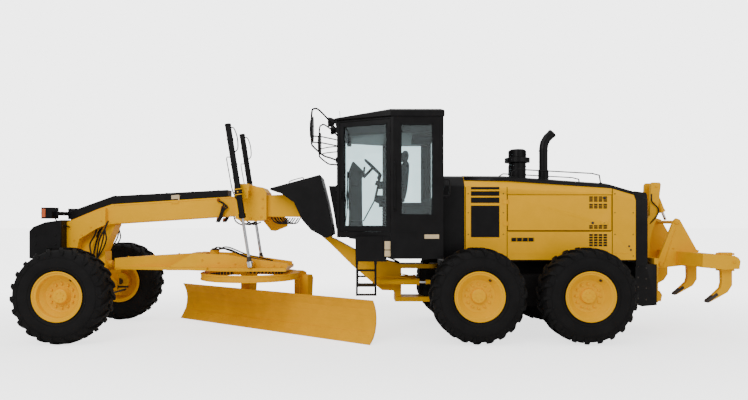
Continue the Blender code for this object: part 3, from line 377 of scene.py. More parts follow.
# ---------------------------------------------------------------- softened edges on the large panels
def softened(node, width, look=None):
    """The CAD piece again with flat faces merged and its corners rounded a little."""
    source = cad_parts[node]
    mesh = source.data.copy()
    mesh.name = "soft_" + node
    obj = bpy.data.objects.new("soft_" + node, mesh)
    bpy.context.collection.objects.link(obj)
    obj.matrix_world = source.matrix_world.copy()
    bm = bmesh.new(); bm.from_mesh(mesh)
    bmesh.ops.remove_doubles(bm, verts=bm.verts, dist=2e-5)
    bmesh.ops.dissolve_limit(bm, angle_limit=math.radians(1.0), verts=bm.verts, edges=bm.edges)
    bm.to_mesh(mesh); bm.free()
    mesh.materials.clear(); mesh.materials.append(look or source.data.materials[0])
    for face in mesh.polygons:
        face.material_index = 0
    mod = obj.modifiers.new("edge", "BEVEL"); mod.width = width; mod.segments = 2; mod.limit_method = "ANGLE"; mod.angle_limit = math.radians(32)
    mod.use_clamp_overlap = True; mod.miter_outer = "MITER_ARC"
    mesh.shade_smooth(); mesh.set_sharp_from_angle(angle=math.radians(40))
    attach(obj, BODY_OF[node])
    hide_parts(node)
    return obj


BODY_OF = {"engine_hood": "chassis", "rear_bulkhead": "chassis", "radiator_guard": "chassis", "cab_shell": "chassis", "cab_roof": "chassis",
           "engine_door_left": "engine_door_left", "engine_door_right": "engine_door_right", "front_frame": "front", "hydraulic_cover": "front",
           "push_block": "front", "hose_cover": "front", "moldboard": "moldboard", "ripper_beam": "ripper", "lift_saddle": "front", "drawbar": "drawbar"}
SLOT_OF = {name: "yellow" for name in BODY_OF}
SLOT_OF.update({name: "black_paint" for name in ("rear_bulkhead", "radiator_guard", "cab_shell", "cab_roof", "hydraulic_cover", "push_block", "hose_cover")})
for name, width in (("engine_hood", 0.006), ("rear_bulkhead", 0.008), ("radiator_guard", 0.008), ("cab_roof", 0.010), ("hydraulic_cover", 0.014),
                    ("push_block", 0.012), ("hose_cover", 0.008), ("engine_door_left", 0.004), ("engine_door_right", 0.004)):
    softened(name, width)


# ---------------------------------------------------------------- small shapes used below
def bolt(bm, place, axis, radius, height=None):
    """A hexagon head on a washer."""
    height = height or radius * 0.8
    add_lathe(bm, place, axis, [(-0.004, 0.0), (-0.004, radius * 1.5), (radius * 0.18, radius * 1.5), (radius * 0.20, radius * 1.1)], 16)
    add_lathe(bm, place, axis, [(-0.004, 0.0), (-0.004, radius), (height, radius), (height + radius * 0.1, radius * 0.8), (height + radius * 0.1, 0.0)], 6)


def hose(name, paths, radius, body, look=None, steps=8, sides=10):
    bm = bmesh.new()
    for path in paths:
        add_tube(bm, smooth_path([at(*p) for p in path], steps), radius, sides)
    return finish_mesh(name, bm, look or HOSE, body, smooth=50)


# ---------------------------------------------------------------- hood: latches, hinges, lower seam, vents
for side, word in ((1, "left"), (-1, "right")):
    bm = bmesh.new()
    for s0, z0 in ((7.77, 1.69), (7.60, 1.69), (7.77, 2.06)):
        add_lathe(bm, at(side * 0.598, s0, z0), (side, 0, 0), [(0.0, 0.020), (0.008, 0.020), (0.010, 0.016), (0.010, 0.0)], 20)
        side_box(bm, side * 0.606, side * 0.613, s0 - 0.012, s0 + 0.012, z0 - 0.004, z0 + 0.004)
    finish_mesh("door_latches_" + word, bm, IRON, "engine_door_" + word, bevel=0.001)
    bm = bmesh.new()
    for z0 in (1.68, 2.00):
        add_lathe(bm, at(side * 0.608, 6.343, z0 - 0.035), (0, 0, 1), [(0, 0), (0, 0.009), (0.07, 0.009), (0.07, 0)], 12)
        side_box(bm, side * 0.600, side * 0.606, 6.275, 6.340, z0 - 0.03, z0 + 0.03)
    side_box(bm, side * 0.599, side * 0.6015, 5.73, 8.22, 1.236, 1.240)
    finish_mesh("hood_hinges_" + word, bm, YELLOW, "chassis", bevel=0.001)
    bm = bmesh.new()
    for s0 in (5.76, 6.28, 7.93, 8.20):
        for z0 in (1.20, 1.52, 1.84, 2.12):
            bolt(bm, at(side * 0.599, s0, z0), (side, 0, 0), 0.006)
    for s0, z0 in ((8.14, 1.345), (8.165, 1.29)):
        add_lathe(bm, at(side * 0.599, s0, z0), (side, 0, 0), [(-0.002, 0.0), (-0.002, 0.016), (0.004, 0.014), (0.004, 0.0)], 16)
    finish_mesh("hood_bolts_" + word, bm, IRON, "chassis")
    # small vent low on the fixed panel
    bm = bmesh.new()
    for k in range(4):
        side_box(bm, side * 0.597, side * 0.6025, 6.40 + k * 0.085, 6.465 + k * 0.085, 1.415, 1.470)
    for k in range(5):
        side_box(bm, side * 0.601, side * 0.6040, 6.395, 6.735, 1.418 + k * 0.012, 1.422 + k * 0.012)
    finish_mesh("hood_vent_" + word, bm, BLACK, "chassis")
bm = bmesh.new()
for s0, s1 in ((6.0, 6.28), (7.35, 7.60)):
    for k in range(9):
        a = s0 + (s1 - s0) * k / 9
        z = 2.4035 if s0 < 6.3 else 2.4005 - (a - 6.34) * 0.0708
        side_box(bm, -0.24, 0.02, a, a + 0.016, z - 0.004, z + 0.010)
finish_mesh("hood_top_slats", bm, BLACK, "chassis", bevel=0.001)

# ---------------------------------------------------------------- radiator guard: slats, tail lamps, bolts
bm = bmesh.new()
for k in range(22):
    z = 1.235 + k * 0.0355
    pts = [at(-0.476, 8.428, z), at(-0.476, 8.436, z + 0.022), at(-0.476, 8.442, z + 0.020), at(-0.476, 8.430, z - 0.003)]
    add_prism(bm, pts, (0.952, 0, 0))
for x in (-0.476, -0.24, 0.0, 0.24, 0.476):
    side_box(bm, x - 0.006, x + 0.006, 8.427, 8.448, 1.21, 2.01)
finish_mesh("guard_slats", bm, BLACK, "chassis")
bm = bmesh.new(); bm2 = bmesh.new()
for side in (1, -1):
    side_box(bm2, side * 0.42, side * 0.55, 8.5565, 8.574, 0.90, 0.985)
    side_box(bm, side * 0.405, side * 0.565, 8.5540, 8.566, 0.885, 1.000)
    for z0 in (0.55, 0.72, 0.86, 1.02):
        bolt(bm, at(side * 0.579, 8.40, z0), (side, 0, 0), 0.010)
        bolt(bm, at(side * 0.579, 8.28, z0 + 0.02), (side, 0, 0), 0.010)
finish_mesh("tail_lamp_bases", bm, IRON, "chassis", bevel=0.002)
finish_mesh("tail_lamps", bm2, RED, "chassis", bevel=0.004)

# ---------------------------------------------------------------- stacks: clamp bands, screen, end ring
bm = bmesh.new()
for z0 in (2.430, 2.560):
    add_lathe(bm, at(0.10, 6.616, z0), (0, 0, 1), [(0.0, 0.125), (0.0, 0.1375), (0.018, 0.1375), (0.018, 0.125)], 40)
for k in range(28):
    a = 2 * math.pi * k / 28
    c, d = math.cos(a), math.sin(a)
    p = at(0.10 + c * 0.1325, 6.616 + d * 0.1325, 2.722)
    add_prism(bm, [p + Vector((-d * 0.004, c * 0.004, 0)), p + Vector((d * 0.004, -c * 0.004, 0)), p + Vector((d * 0.004 + c * 0.005, -c * 0.004 + d * 0.005, 0)), p + Vector((-d * 0.004 + c * 0.005, c * 0.004 + d * 0.005, 0))], (0, 0, 0.085))
side_box(bm, 0.095, 0.105, 6.475, 6.500, 2.43, 2.58)
finish_mesh("precleaner_fins", bm, BLACK, "chassis")
bm = bmesh.new()
for z0 in (2.50, 2.80):
    add_lathe(bm, at(0.15, 7.01, z0), (0, 0, 1), [(0.0, 0.060), (0.0, 0.0715), (0.014, 0.0715), (0.014, 0.060)], 32)
end = at(0.15, 7.15, 3.085); way = (end - at(0.15, 7.07, 3.01)).normalized()
add_lathe(bm, end, way, [(-0.03, 0.060), (-0.03, 0.0695), (0.002, 0.0695), (0.002, 0.056), (0.0005, 0.056), (0.0005, 0.0)], 32)
finish_mesh("exhaust_bands", bm, BLACK, "chassis")

# ---------------------------------------------------------------- cab outside: lamps, grab loops, wipers, seals, plates, antenna
bm = bmesh.new(); bm2 = bmesh.new(); bm3 = bmesh.new()
for side in (1, -1):
    # work lamp on a bracket ahead of each front corner
    add_lathe(bm, at(side * 0.40, 3.775, 3.215), (0, -1, 0), [(0.0, 0.0), (0.0, 0.040), (0.035, 0.062), (0.085, 0.072), (0.100, 0.072), (0.102, 0.064), (0.088, 0.060), (0.088, 0.0)], 28)
    add_lathe(bm2, at(side * 0.40, 3.684, 3.215), (0, -1, 0), [(0.0, 0.0), (0.0, 0.060), (0.006, 0.055), (0.010, 0.0)], 28)
    side_box(bm, side * 0.385, side * 0.415, 3.760, 3.806, 3.195, 3.225)
    # loop behind the cab's rear corner
    add_tube(bm3, smooth_path([at(side * 0.795, 5.360, 2.315), at(side * 0.800, 5.425, 2.320), at(side * 0.800, 5.455, 2.290), at(side * 0.800, 5.455, 2.120), at(side * 0.800, 5.425, 2.075), at(side * 0.795, 5.360, 2.080)], 6), 0.011, 10)
    # rail beside the door on the corner post
    add_tube(bm3, smooth_path([at(side * 0.800, 4.66, 2.56), at(side * 0.846, 4.66, 2.55), at(side * 0.850, 4.66, 2.50), at(side * 0.850, 4.66, 1.95), at(side * 0.846, 4.66, 1.88), at(side * 0.800, 4.66, 1.87)], 6), 0.010, 10)
finish_mesh("cab_work_lamps", bm, BLACK, "chassis")
finish_mesh("cab_lamp_lenses", bm2, LENS, "chassis")
finish_mesh("cab_grab_rails", bm3, BLACK, "chassis", smooth=50)
bm = bmesh.new()
add_tube(bm, [at(0.28, 3.86, 3.24), at(0.275, 3.845, 3.405)], 0.004, 8)
add_lathe(bm, at(0.28, 3.86, 3.235), (0, 0, 1), [(0, 0), (0, 0.022), (0.022, 0.018), (0.026, 0.0)], 16)
side_box(bm, -0.70, 0.70, 5.30, 5.352, 3.335, 3.350)
finish_mesh("antenna", bm, BLACK, "chassis")

bm = bmesh.new()
for side in (1, -1):
    # side window seal, door seal and front seal as narrow frames
    for s0, s1, z0, z1 in ((4.745, 4.760, 1.80, 3.12), (5.200, 5.215, 1.80, 3.12), (4.745, 5.215, 1.80, 1.815), (4.745, 5.215, 3.105, 3.12)):
        side_box(bm, side * 0.790, side * 0.8235, s0, s1, z0, z1)
for x0, x1, z0, z1 in ((-0.36, -0.345, 1.62, 3.16), (0.345, 0.36, 1.62, 3.16), (-0.36, 0.36, 1.62, 1.635), (-0.36, 0.36, 3.145, 3.16)):
    side_box(bm, x0, x1, 3.8065, 3.836, z0, z1)
for x0, x1, z0, z1 in ((-0.74, -0.725, 2.05, 3.16), (0.725, 0.74, 2.05, 3.16), (-0.74, 0.74, 2.05, 2.065), (-0.74, 0.74, 3.145, 3.16)):
    side_box(bm, x0, x1, 5.340, 5.3685, z0, z1)
finish_mesh("window_seals", bm, TRIM, "chassis")
for side, word in ((1, "left"), (-1, "right")):
    p, q = Vector((side * DOOR_A.x, DOOR_A.y)), Vector((side * DOOR_B.x, DOOR_B.y))
    way = (q - p).normalized(); normal = Vector((way.y, -way.x)) * side
    length = (q - p).length

    def door(t, out, z):
        v = p + way * t + normal * out
        return at(v.x, v.y, z)

    bm = bmesh.new()
    # handle and its plate near the front edge, grab bar inside, wiper
    add_prism(bm, [door(0.066, -0.004, 2.02), door(0.102, -0.004, 2.02), door(0.102, 0.006, 2.02), door(0.066, 0.006, 2.02)], (0, 0, 0.17))
    add_tube(bm, [door(0.084, 0.004, 2.05), door(0.084, 0.040, 2.06), door(0.084, 0.040, 2.15), door(0.084, 0.004, 2.16)], 0.008, 10)
    for z0 in (1.75, 2.40, 3.03):
        add_lathe(bm, door(length - 0.051, 0.003, z0 - 0.04), (0, 0, 1), [(0, 0), (0, 0.012), (0.08, 0.012), (0.08, 0)], 14)
    add_tube(bm, [door(0.20, -0.030, 1.72), door(0.42, -0.055, 1.72), door(0.62, -0.055, 2.05), door(0.72, -0.030, 2.40)], 0.010, 10)
    add_tube(bm, [door(0.115, -0.006, 1.70), door(0.145, 0.006, 1.86), door(0.180, 0.002, 2.28)], 0.006, 8)
    add_prism(bm, [door(0.17, 0.000, 1.90), door(0.182, 0.000, 1.90), door(0.182, -0.014, 1.90), door(0.17, -0.014, 1.90)], (0, 0, 0.56))
    finish_mesh("door_fittings_" + word, bm, BLACK, "cab_door_" + word, smooth=45)
    bm = bmesh.new()
    for t0, t1, z0, z1 in ((0.098, 0.114, 1.625, 3.14), (length - 0.114, length - 0.098, 1.625, 3.14), (0.098, length - 0.098, 1.625, 1.641), (0.098, length - 0.098, 3.124, 3.14)):
        add_prism(bm, [door(t0, -0.0015, z0), door(t1, -0.0015, z0), door(t1, -0.016, z0), door(t0, -0.016, z0)], (0, 0, z1 - z0))
    finish_mesh("door_seals_" + word, bm, TRIM, "cab_door_" + word)

bm = bmesh.new()
for side in (1, -1):
    side_box(bm, side * 0.800, side * 0.803, 4.515, 4.600, 1.305, 1.425)
    side_box(bm, side * 0.800, side * 0.803, 4.515, 4.605, 1.205, 1.292)
    side_box(bm, side * 0.8195, side * 0.8225, 5.090, 5.300, 1.462, 1.522)
finish_mesh("blank_plates", bm, BEIGE, "chassis", bevel=0.002)
bm = bmesh.new()
for side in (1, -1):
    # battery box lid line and bolts on the cab's lower side
    side_box(bm, side * 0.8185, side * 0.8225, 4.66, 5.345, 1.558, 1.566)
    for s0 in (4.66, 4.95, 5.33):
        for z0 in (1.22, 1.40):
            bolt(bm, at(side * 0.819, s0, z0), (side, 0, 0), 0.008)
    for s0 in (4.13, 4.33, 4.51):
        bolt(bm, at(side * 0.780, s0, 1.20), (side, 0, 0), 0.007)
        bolt(bm, at(side * 0.780, s0, 1.42), (side, 0, 0), 0.007)
    for z0 in (0.652, 0.782, 1.007):
        for k in range(9):
            s0 = 4.145 + k * 0.027
            side_box(bm, side * 0.700, side * 0.764, s0, s0 + 0.010, z0, z0 + 0.007)
finish_mesh("cab_lower_bolts", bm, BLACK, "chassis")

# ---------------------------------------------------------------- cab inside
bm = bmesh.new()
for pts, x0, x1 in (([(4.40, 2.03), (4.385, 2.075), (4.42, 2.118), (4.60, 2.108), (4.78, 2.095), (4.85, 2.055), (4.85, 2.01), (4.44, 2.00)], -0.245, 0.245),
                    ([(4.72, 2.06), (4.705, 2.13), (4.745, 2.36), (4.785, 2.56), (4.825, 2.635), (4.885, 2.652), (4.922, 2.60), (4.915, 2.45), (4.89, 2.20), (4.855, 2.05)], -0.235, 0.235),
                    ([(4.815, 2.655), (4.805, 2.775), (4.845, 2.822), (4.905, 2.812), (4.925, 2.74), (4.905, 2.655)], -0.125, 0.125),
                    ([(4.445, 2.235), (4.425, 2.295), (4.485, 2.332), (4.835, 2.304), (4.835, 2.25)], 0.24, 0.305),
                    ([(4.445, 2.235), (4.425, 2.295), (4.485, 2.332), (4.835, 2.304), (4.835, 2.25)], -0.305, -0.24)):
    add_prism(bm, [at(x0, s0, z0) for s0, z0 in pts], (x1 - x0, 0, 0))
seat = finish_mesh("seat_cushions", bm, FABRIC, "chassis", bevel=0.022, segments=3)
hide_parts("operator_seat")
bm = bmesh.new()
side_box(bm, -0.14, 0.14, 4.49, 4.77, 1.535, 1.60)
side_box(bm, -0.17, 0.17, 4.46, 4.82, 1.94, 2.00)
for k in range(7):
    add_lathe(bm, at(0, 4.63, 1.60 + k * 0.048), (0, 0, 1), [(0, 0), (0, 0.10), (0.024, 0.128), (0.048, 0.10), (0.048, 0)], 24)
for x in (0.272, -0.272):
    add_tube(bm, [at(x, 4.80, 2.02), at(x, 4.80, 2.26)], 0.014, 10)
    side_box(bm, x - 0.03, x + 0.03, 4.40, 4.46, 2.30, 2.335)
    add_lathe(bm, at(x, 4.455, 2.33), (0, 0, 1), [(0, 0), (0, 0.010), (0.07, 0.010), (0.075, 0.020), (0.11, 0.022), (0.125, 0.0)], 14)
finish_mesh("seat_base", bm, TRIM, "chassis", bevel=0.004)
bm = bmesh.new()
for pts, x0, x1 in (([(3.97, 1.535), (4.255, 1.535), (4.215, 1.60), (4.195, 1.74), (4.190, 2.415), (4.235, 2.455), (4.235, 2.475), (4.06, 2.645), (4.035, 2.635), (3.96, 2.44), (3.995, 2.31), (3.985, 1.76)], -0.130, 0.130),):
    add_prism(bm, [at(x0, s0, z0) for s0, z0 in pts], (x1 - x0, 0, 0))
for k in range(5):
    x = -0.22 + 0.11 * k
    if abs(x) > 0.13:
        add_tube(bm, smooth_path([at(x, 4.08, 2.30), at(x, 4.18, 2.40), at(x, 4.22, 2.52)], 5), 0.007, 8)
        add_lathe(bm, at(x, 4.22, 2.51), (0, 0.25, 1), [(0, 0), (0, 0.014), (0.035, 0.017), (0.05, 0.0)], 12)
side_box(bm, -0.25, 0.25, 4.03, 4.12, 2.27, 2.33)
hub, tilt = at(0, 4.365, 2.563), Vector((0, 0.12, 0.125)).normalized()
add_lathe(bm, hub, tilt, [(-0.22, 0.0), (-0.22, 0.022), (-0.02, 0.022), (0.0, 0.045), (0.022, 0.042), (0.026, 0.0)], 20)
flat = tilt.orthogonal().normalized(); across = tilt.cross(flat)
wheel = [hub + 0.178 * (math.cos(2 * math.pi * k / 40) * flat + math.sin(2 * math.pi * k / 40) * across) for k in range(41)]
add_tube(bm, wheel, 0.0135, 10)
for k in range(3):
    w = 2 * math.pi * (k + 0.25) / 3
    add_tube(bm, [hub + tilt * 0.012, hub + 0.176 * (math.cos(w) * flat + math.sin(w) * across)], 0.009, 8)
for x in (-0.20, 0.20):
    side_box(bm, x - 0.04, x + 0.04, 4.02, 4.14, 1.56, 1.575)
    side_box(bm, x - 0.04, x + 0.04, 4.02, 4.03, 1.56, 1.70)
console = finish_mesh("console_and_wheel", bm, TRIM, "chassis", smooth=40, bevel=0.004)
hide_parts("steering_console")
bm = bmesh.new()
# right-hand side console, rear shelf and floor mat; the dark blocks under the roof further down are painted shade
side_box(bm, -0.62, -0.38, 4.55, 5.20, 1.60, 2.02)
side_box(bm, 0.42, 0.62, 4.80, 5.20, 1.60, 1.92)
side_box(bm, -0.70, 0.70, 5.20, 5.312, 1.60, 2.06)
side_box(bm, -0.60, 0.60, 4.30, 5.20, 1.534, 1.542)
side_box(bm, -0.34, 0.34, 3.90, 4.35, 1.534, 1.542)
finish_mesh("cab_inner_trim", bm, TRIM, "chassis", bevel=0.012)
# Dark blocks hanging under the roof: painted shade that darkens the tops of the windows.
bm = bmesh.new()
side_box(bm, -0.30, 0.30, 3.95, 4.02, 2.93, 2.994)
side_box(bm, 0.20, 0.42, 4.95, 5.25, 2.90, 2.994)
finish_mesh("roof_shade_blocks", bm, FABRIC, "chassis", bevel=0.01)

# ---------------------------------------------------------------- mirrors
bm = bmesh.new(); bm2 = bmesh.new()
for side in (1, -1):
    shell = [(0.0, 0.0), (0.0, 0.070), (0.018, 0.100), (0.040, 0.110), (0.052, 0.110), (0.052, 0.102), (0.046, 0.100), (0.046, 0.0)]
    rings = []
    centre = at(side * 0.77, 3.435, 3.05)
    for along, radius in shell:
        rings.append([bm.verts.new(centre + Vector((math.cos(2 * math.pi * k / 28) * radius, along, math.sin(2 * math.pi * k / 28) * radius * 1.65))) for k in range(28)] if radius else [bm.verts.new(centre + Vector((0, along, 0)))])
    for r0, r1 in zip(rings, rings[1:]):
        for k in range(28):
            c = []
            for v in (r0[k % len(r0)], r0[(k + 1) % len(r0)], r1[(k + 1) % len(r1)], r1[k % len(r1)]):
                if v not in c: c.append(v)
            bm.faces.new(c)
    ring = [bm2.verts.new(centre + Vector((math.cos(2 * math.pi * k / 28) * 0.099, 0.048, math.sin(2 * math.pi * k / 28) * 0.163))) for k in range(28)]
    bm2.faces.new(ring)
    back = [bm2.verts.new(v.co + Vector((0, -0.001, 0))) for v in ring]
    bm2.faces.new(back[::-1])
    for k in range(28):
        bm2.faces.new((ring[k], ring[(k + 1) % 28], back[(k + 1) % 28], back[k]))
    loop = [(0.36, 3.803, 3.10), (0.48, 3.70, 3.22), (0.66, 3.56, 3.345), (0.735, 3.495, 3.352), (0.765, 3.462, 3.30), (0.768, 3.455, 3.05), (0.765, 3.458, 2.86), (0.74, 3.48, 2.80), (0.62, 3.62, 2.685), (0.50, 3.72, 2.66), (0.36, 3.803, 2.64)]
    add_tube(bm, smooth_path([at(side * x, s0, z0) for x, s0, z0 in loop], 6), 0.0135, 10)
    for z0 in (2.95, 2.86):
        add_tube(bm, [at(side * 0.38, 3.80, z0), at(side * 0.62, 3.60, z0 + 0.01), at(side * 0.765, 3.47, z0)], 0.010, 8)
    for z0 in (2.64, 3.10):
        side_box(bm, side * 0.330, side * 0.400, 3.792, 3.8094, z0 - 0.04, z0 + 0.04)
mirrors = finish_mesh("mirror_shells", bm, BLACK, "chassis", smooth=45)
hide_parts("mirror_arm_left"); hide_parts("mirror_arm_right")
finish_mesh("mirror_faces", bm2, MIRROR, "chassis")

# ---------------------------------------------------------------- beam, saddle and front: bolts, ribs, brackets
bm = bmesh.new()
for side in (1, -1):
    for s0, z0 in ((2.32, 2.00), (2.32, 1.88), (2.34, 1.775), (2.48, 1.76), (2.64, 1.78), (2.66, 1.92), (2.66, 2.06), (2.48, 2.12)):
        bolt(bm, at(side * 0.260, s0, z0), (side, 0, 0), 0.014)
    for s0, z0 in ((2.30, 2.10), (2.44, 2.10), (2.30, 2.21), (2.44, 2.21)):
        bolt(bm, at(side * 0.430, s0, z0), (side, 0, 0), 0.009)
    for s0, z0 in ((-0.24, 1.30), (-0.24, 1.42), (-0.12, 1.50), (0.02, 1.62), (-0.30, 1.60), (0.18, 1.72)):
        bolt(bm, at(side * 0.250, s0, z0), (side, 0, 0), 0.010)
    for s0, z0 in ((4.40, 0.90), (4.55, 0.80), (4.62, 0.72), (4.40, 1.05)):
        bolt(bm, at(side * 0.180, s0, z0), (side, 0, 0), 0.012)
finish_mesh("frame_bolts", bm, YELLOW_LOW, "front")
bm = bmesh.new()
for side in (1, -1):
    # weld beads along the beam's lower and upper edges, and a doubler plate near the nose
    for path in ([(0.34, 1.683), (1.0, 1.726), (1.6, 1.765), (2.20, 1.802)], [(0.34, 1.955), (1.0, 1.996), (1.6, 2.036), (2.20, 2.078)]):
        add_tube(bm, [at(side * 0.181, s0, z0) for s0, z0 in path], 0.004, 6)
    add_prism(bm, [at(side * 0.179, 1.235, 2.02), at(side * 0.179, 1.345, 2.027), at(side * 0.179, 1.345, 1.99), at(side * 0.179, 1.235, 1.983)], (side * 0.010, 0, 0))
finish_mesh("beam_welds", bm, YELLOW_LOW, "front", smooth=60)
bm = bmesh.new()
for side in (1, -1):
    add_prism(bm, [at(side * 0.149, 1.225, 2.055), at(side * 0.149, 1.345, 2.062), at(side * 0.149, 1.345, 2.125), at(side * 0.149, 1.225, 2.118)], (side * 0.012, 0, 0))
    add_prism(bm, [at(side * 0.150, 1.335, 2.00), at(side * 0.150, 1.355, 2.00), at(side * 0.150, 1.355, 2.12), at(side * 0.150, 1.335, 2.12)], (side * 0.028, 0, 0))
finish_mesh("cover_brackets", bm, BEIGE, "front", bevel=0.003)
bm = bmesh.new()
for s0 in (0.35, 0.75, 1.15, 1.55, 1.95):
    z0 = 2.108 + (2.205 - 2.108) * (s0 - 0.313) / (2.10 - 0.313)
    side_box(bm, -0.152, 0.152, s0 - 0.012, s0 + 0.012, z0 - 0.004, z0 + 0.004)
    for side in (1, -1):
        bolt(bm, at(side * 0.149, s0, z0 - 0.06), (side, 0, 0), 0.007)
for side in (1, -1):
    for s0, z0 in ((3.02, 2.19), (3.30, 2.30), (3.50, 2.36), (3.60, 1.60), (3.45, 1.66), (3.30, 1.86)):
        bolt(bm, at(side * 0.440, s0, z0), (side, 0, 0), 0.008)
    # grip on the cover's upper edge
    add_tube(bm, smooth_path([at(side * 0.36, 3.08, 2.285), at(side * 0.36, 3.10, 2.325), at(side * 0.36, 3.28, 2.375), at(side * 0.36, 3.30, 2.345)], 5), 0.008, 8)
finish_mesh("cover_fittings", bm, BLACK, "front")
bm = bmesh.new()
for side in (1, -1):
    # push block: bolt rows, tow hole ring, lamp feet
    for z0 in (1.22, 1.36, 1.50):
        bolt(bm, at(side * 0.420, -0.74, z0), (side, 0, 0), 0.013)
        if z0 > 1.33:
            bolt(bm, at(side * 0.420, -0.44, z0), (side, 0, 0), 0.013)
        bolt(bm, at(side * 0.28, -0.838, z0), (0, -1, 0), 0.013)
    add_tube(bm, smooth_path([at(side * 0.40, -0.47, 1.80), at(side * 0.395, -0.43, 1.72), at(side * 0.33, -0.36, 1.66), at(side * 0.24, -0.30, 1.62)], 5), 0.009, 8)
    # lamp rims
    add_lathe(bm, at(side * 0.40, -0.605, 1.838), (0, -1, 0), [(0.0, 0.070), (0.0, 0.080), (0.018, 0.080), (0.018, 0.070)], 28)
side_box(bm, -0.27, 0.27, -0.844, -0.838, 1.40, 1.405)
finish_mesh("push_block_bolts", bm, BLACK, "front")
bm = bmesh.new()
add_lathe(bm, at(0, -0.8385, 1.27), (0, -1, 0), [(-0.006, 0.030), (0.010, 0.034), (0.012, 0.040), (0.010, 0.046), (-0.006, 0.050)], 28)
finish_mesh("tow_eye", bm, IRON, "front")

# hoses: nose bundle, beam underside, saddle loops
nose_hoses = []
for k in range(7):
    x = -0.13 + 0.045 * k
    nose_hoses.append([(x + 0.06, 0.10 + 0.03 * (k % 3), 1.64), (x + 0.07, 0.06 + 0.04 * (k % 2), 1.50), (x * 1.4, -0.02 + 0.03 * (k % 3), 1.36), (x * 1.7, 0.02, 1.20), (x * 1.5, 0.04 - 0.05 * (k % 2), 1.06)])
hose("nose_hoses", nose_hoses, 0.012, "front", look=HOSE)
hose("nose_hoses_outer", [[(sx * 0.235, 0.28, 1.72), (sx * 0.262, 0.24, 1.60), (sx * 0.262, 0.16 + 0.05 * k, 1.44), (sx * 0.20, 0.10 + 0.04 * k, 1.28), (sx * 0.13, 0.05, 1.12)] for sx in (1, -1) for k in range(3)], 0.011, "front", look=HOSE)
hose("beam_side_hoses", [[(sx * 0.190, 1.95 + 0.05 * k, 2.03 - 0.02 * k), (sx * 0.215, 2.05 + 0.03 * k, 1.99 - 0.03 * k), (sx * 0.235, 2.02 + 0.02 * k, 1.88), (sx * 0.225, 1.98 + 0.02 * k, 1.76), (sx * 0.215, 1.94 + 0.02 * k, 1.70)] for sx in (1, -1) for k in range(3)] +
     [[(sx * 0.17, 2.20 + 0.10 * k, 1.79), (sx * 0.20, 2.24 + 0.10 * k, 1.71), (sx * 0.20, 2.34 + 0.10 * k, 1.66), (sx * 0.18, 2.46 + 0.10 * k, 1.70)] for sx in (1, -1) for k in range(2)], 0.011, "front", look=HOSE)
hose("saddle_loops", [[(sx * 0.15, 2.78 + 0.09 * k, 1.772), (sx * 0.17, 2.84 + 0.09 * k, 1.70), (sx * 0.17, 2.95 + 0.09 * k, 1.68), (sx * 0.15, 3.04 + 0.08 * k, 1.768)] for sx in (1, -1) for k in range(3)], 0.010, "front", look=HOSE)
bm = bmesh.new()
for sx in (1, -1):
    for s0, z0 in ((1.96, 2.02), (2.02, 1.90), (1.95, 1.72)):
        add_lathe(bm, at(sx * 0.20, s0, z0), (0.3 * sx, 0.3, 1), [(0, 0), (0, 0.018), (0.05, 0.018), (0.05, 0)], 6)
finish_mesh("hose_ends", bm, RUST, "front")

# ---------------------------------------------------------------- lift cylinders: caps, collars, pipes, ball ends
TOP, EYE = (2.185, 3.165), (2.515, 1.072)
for side, word in ((1, "left"), (-1, "right")):
    x = side * 0.52
    top, eye = at(x, *TOP), at(x, *EYE)
    d = (eye - top).normalized()
    bm = bmesh.new()
    add_lathe(bm, top, d, [(-0.004, 0.0), (-0.004, 0.040), (0.0, 0.0465), (0.035, 0.0475), (0.037, 0.0458)], 32)
    add_lathe(bm, top + d * 1.355, d, [(0.0, 0.0455), (0.004, 0.0535), (0.060, 0.0535), (0.066, 0.046), (0.071, 0.034), (0.074, 0.0255), (0.060, 0.0255)], 32)
    fore, out = Vector((0, -1, 0)), Vector((side, 0, 0))
    add_tube(bm, smooth_path([top + d * 0.05 - fore * 0.044, top + d * 0.07 - fore * 0.085, top + d * 0.20 - fore * 0.110, top + d * 0.36 - fore * 0.095, top + d * 0.42 - fore * 0.048], 6), 0.009, 8)
    add_tube(bm, [top + d * 0.50 + fore * 0.044, top + d * 0.50 + fore * 0.090, top + d * 0.53 + fore * 0.100, top + d * 0.90 + fore * 0.092], 0.008, 8)
    add_tube(bm, smooth_path([top + d * 0.90 + fore * 0.092, top + d * 1.00 + fore * 0.085, top + d * 1.10 + fore * 0.060, top + d * 1.14 + fore * 0.044], 5), 0.009, 8)
    for t in (0.22, 0.60, 0.80):
        add_lathe(bm, top + d * t, d, [(0.0, 0.0455), (0.0, 0.0500), (0.022, 0.0500), (0.022, 0.0455)], 32)
    finish_mesh("lift_pipes_" + word, bm, BLACK, "lift_barrel_" + word, smooth=45)
    bm = bmesh.new()
    tr = top + d * ((2.150 - 3.165) / d.z)
    for t in (-0.040, 0.040):
        add_lathe(bm, tr + d * (t - 0.006), d, [(0.0, 0.060), (0.0, 0.0635), (0.012, 0.0635), (0.012, 0.060)], 32)
    for k in range(4):
        a0 = math.pi / 4 + math.pi / 2 * k
        u = d.orthogonal().normalized(); v = d.cross(u)
        bolt(bm, tr + 0.0605 * (math.cos(a0) * u + math.sin(a0) * v), math.cos(a0) * u + math.sin(a0) * v, 0.008)
    finish_mesh("trunnion_rings_" + word, bm, YELLOW, "lift_barrel_" + word)
    bm = bmesh.new()
    add_lathe(bm, eye - d * 0.115, d, [(0.0, 0.0235), (0.0, 0.031), (0.050, 0.034), (0.062, 0.044), (0.066, 0.040)], 28)
    for k in range(4):
        a0 = math.pi / 4 + math.pi / 2 * k
        u = d.orthogonal().normalized(); v = d.cross(u)
        bolt(bm, eye + d * 0.049 + 0.030 * (math.cos(a0) * u + math.sin(a0) * v), d, 0.007)
    finish_mesh("rod_ends_" + word, bm, IRON, "lift_rod_" + word)

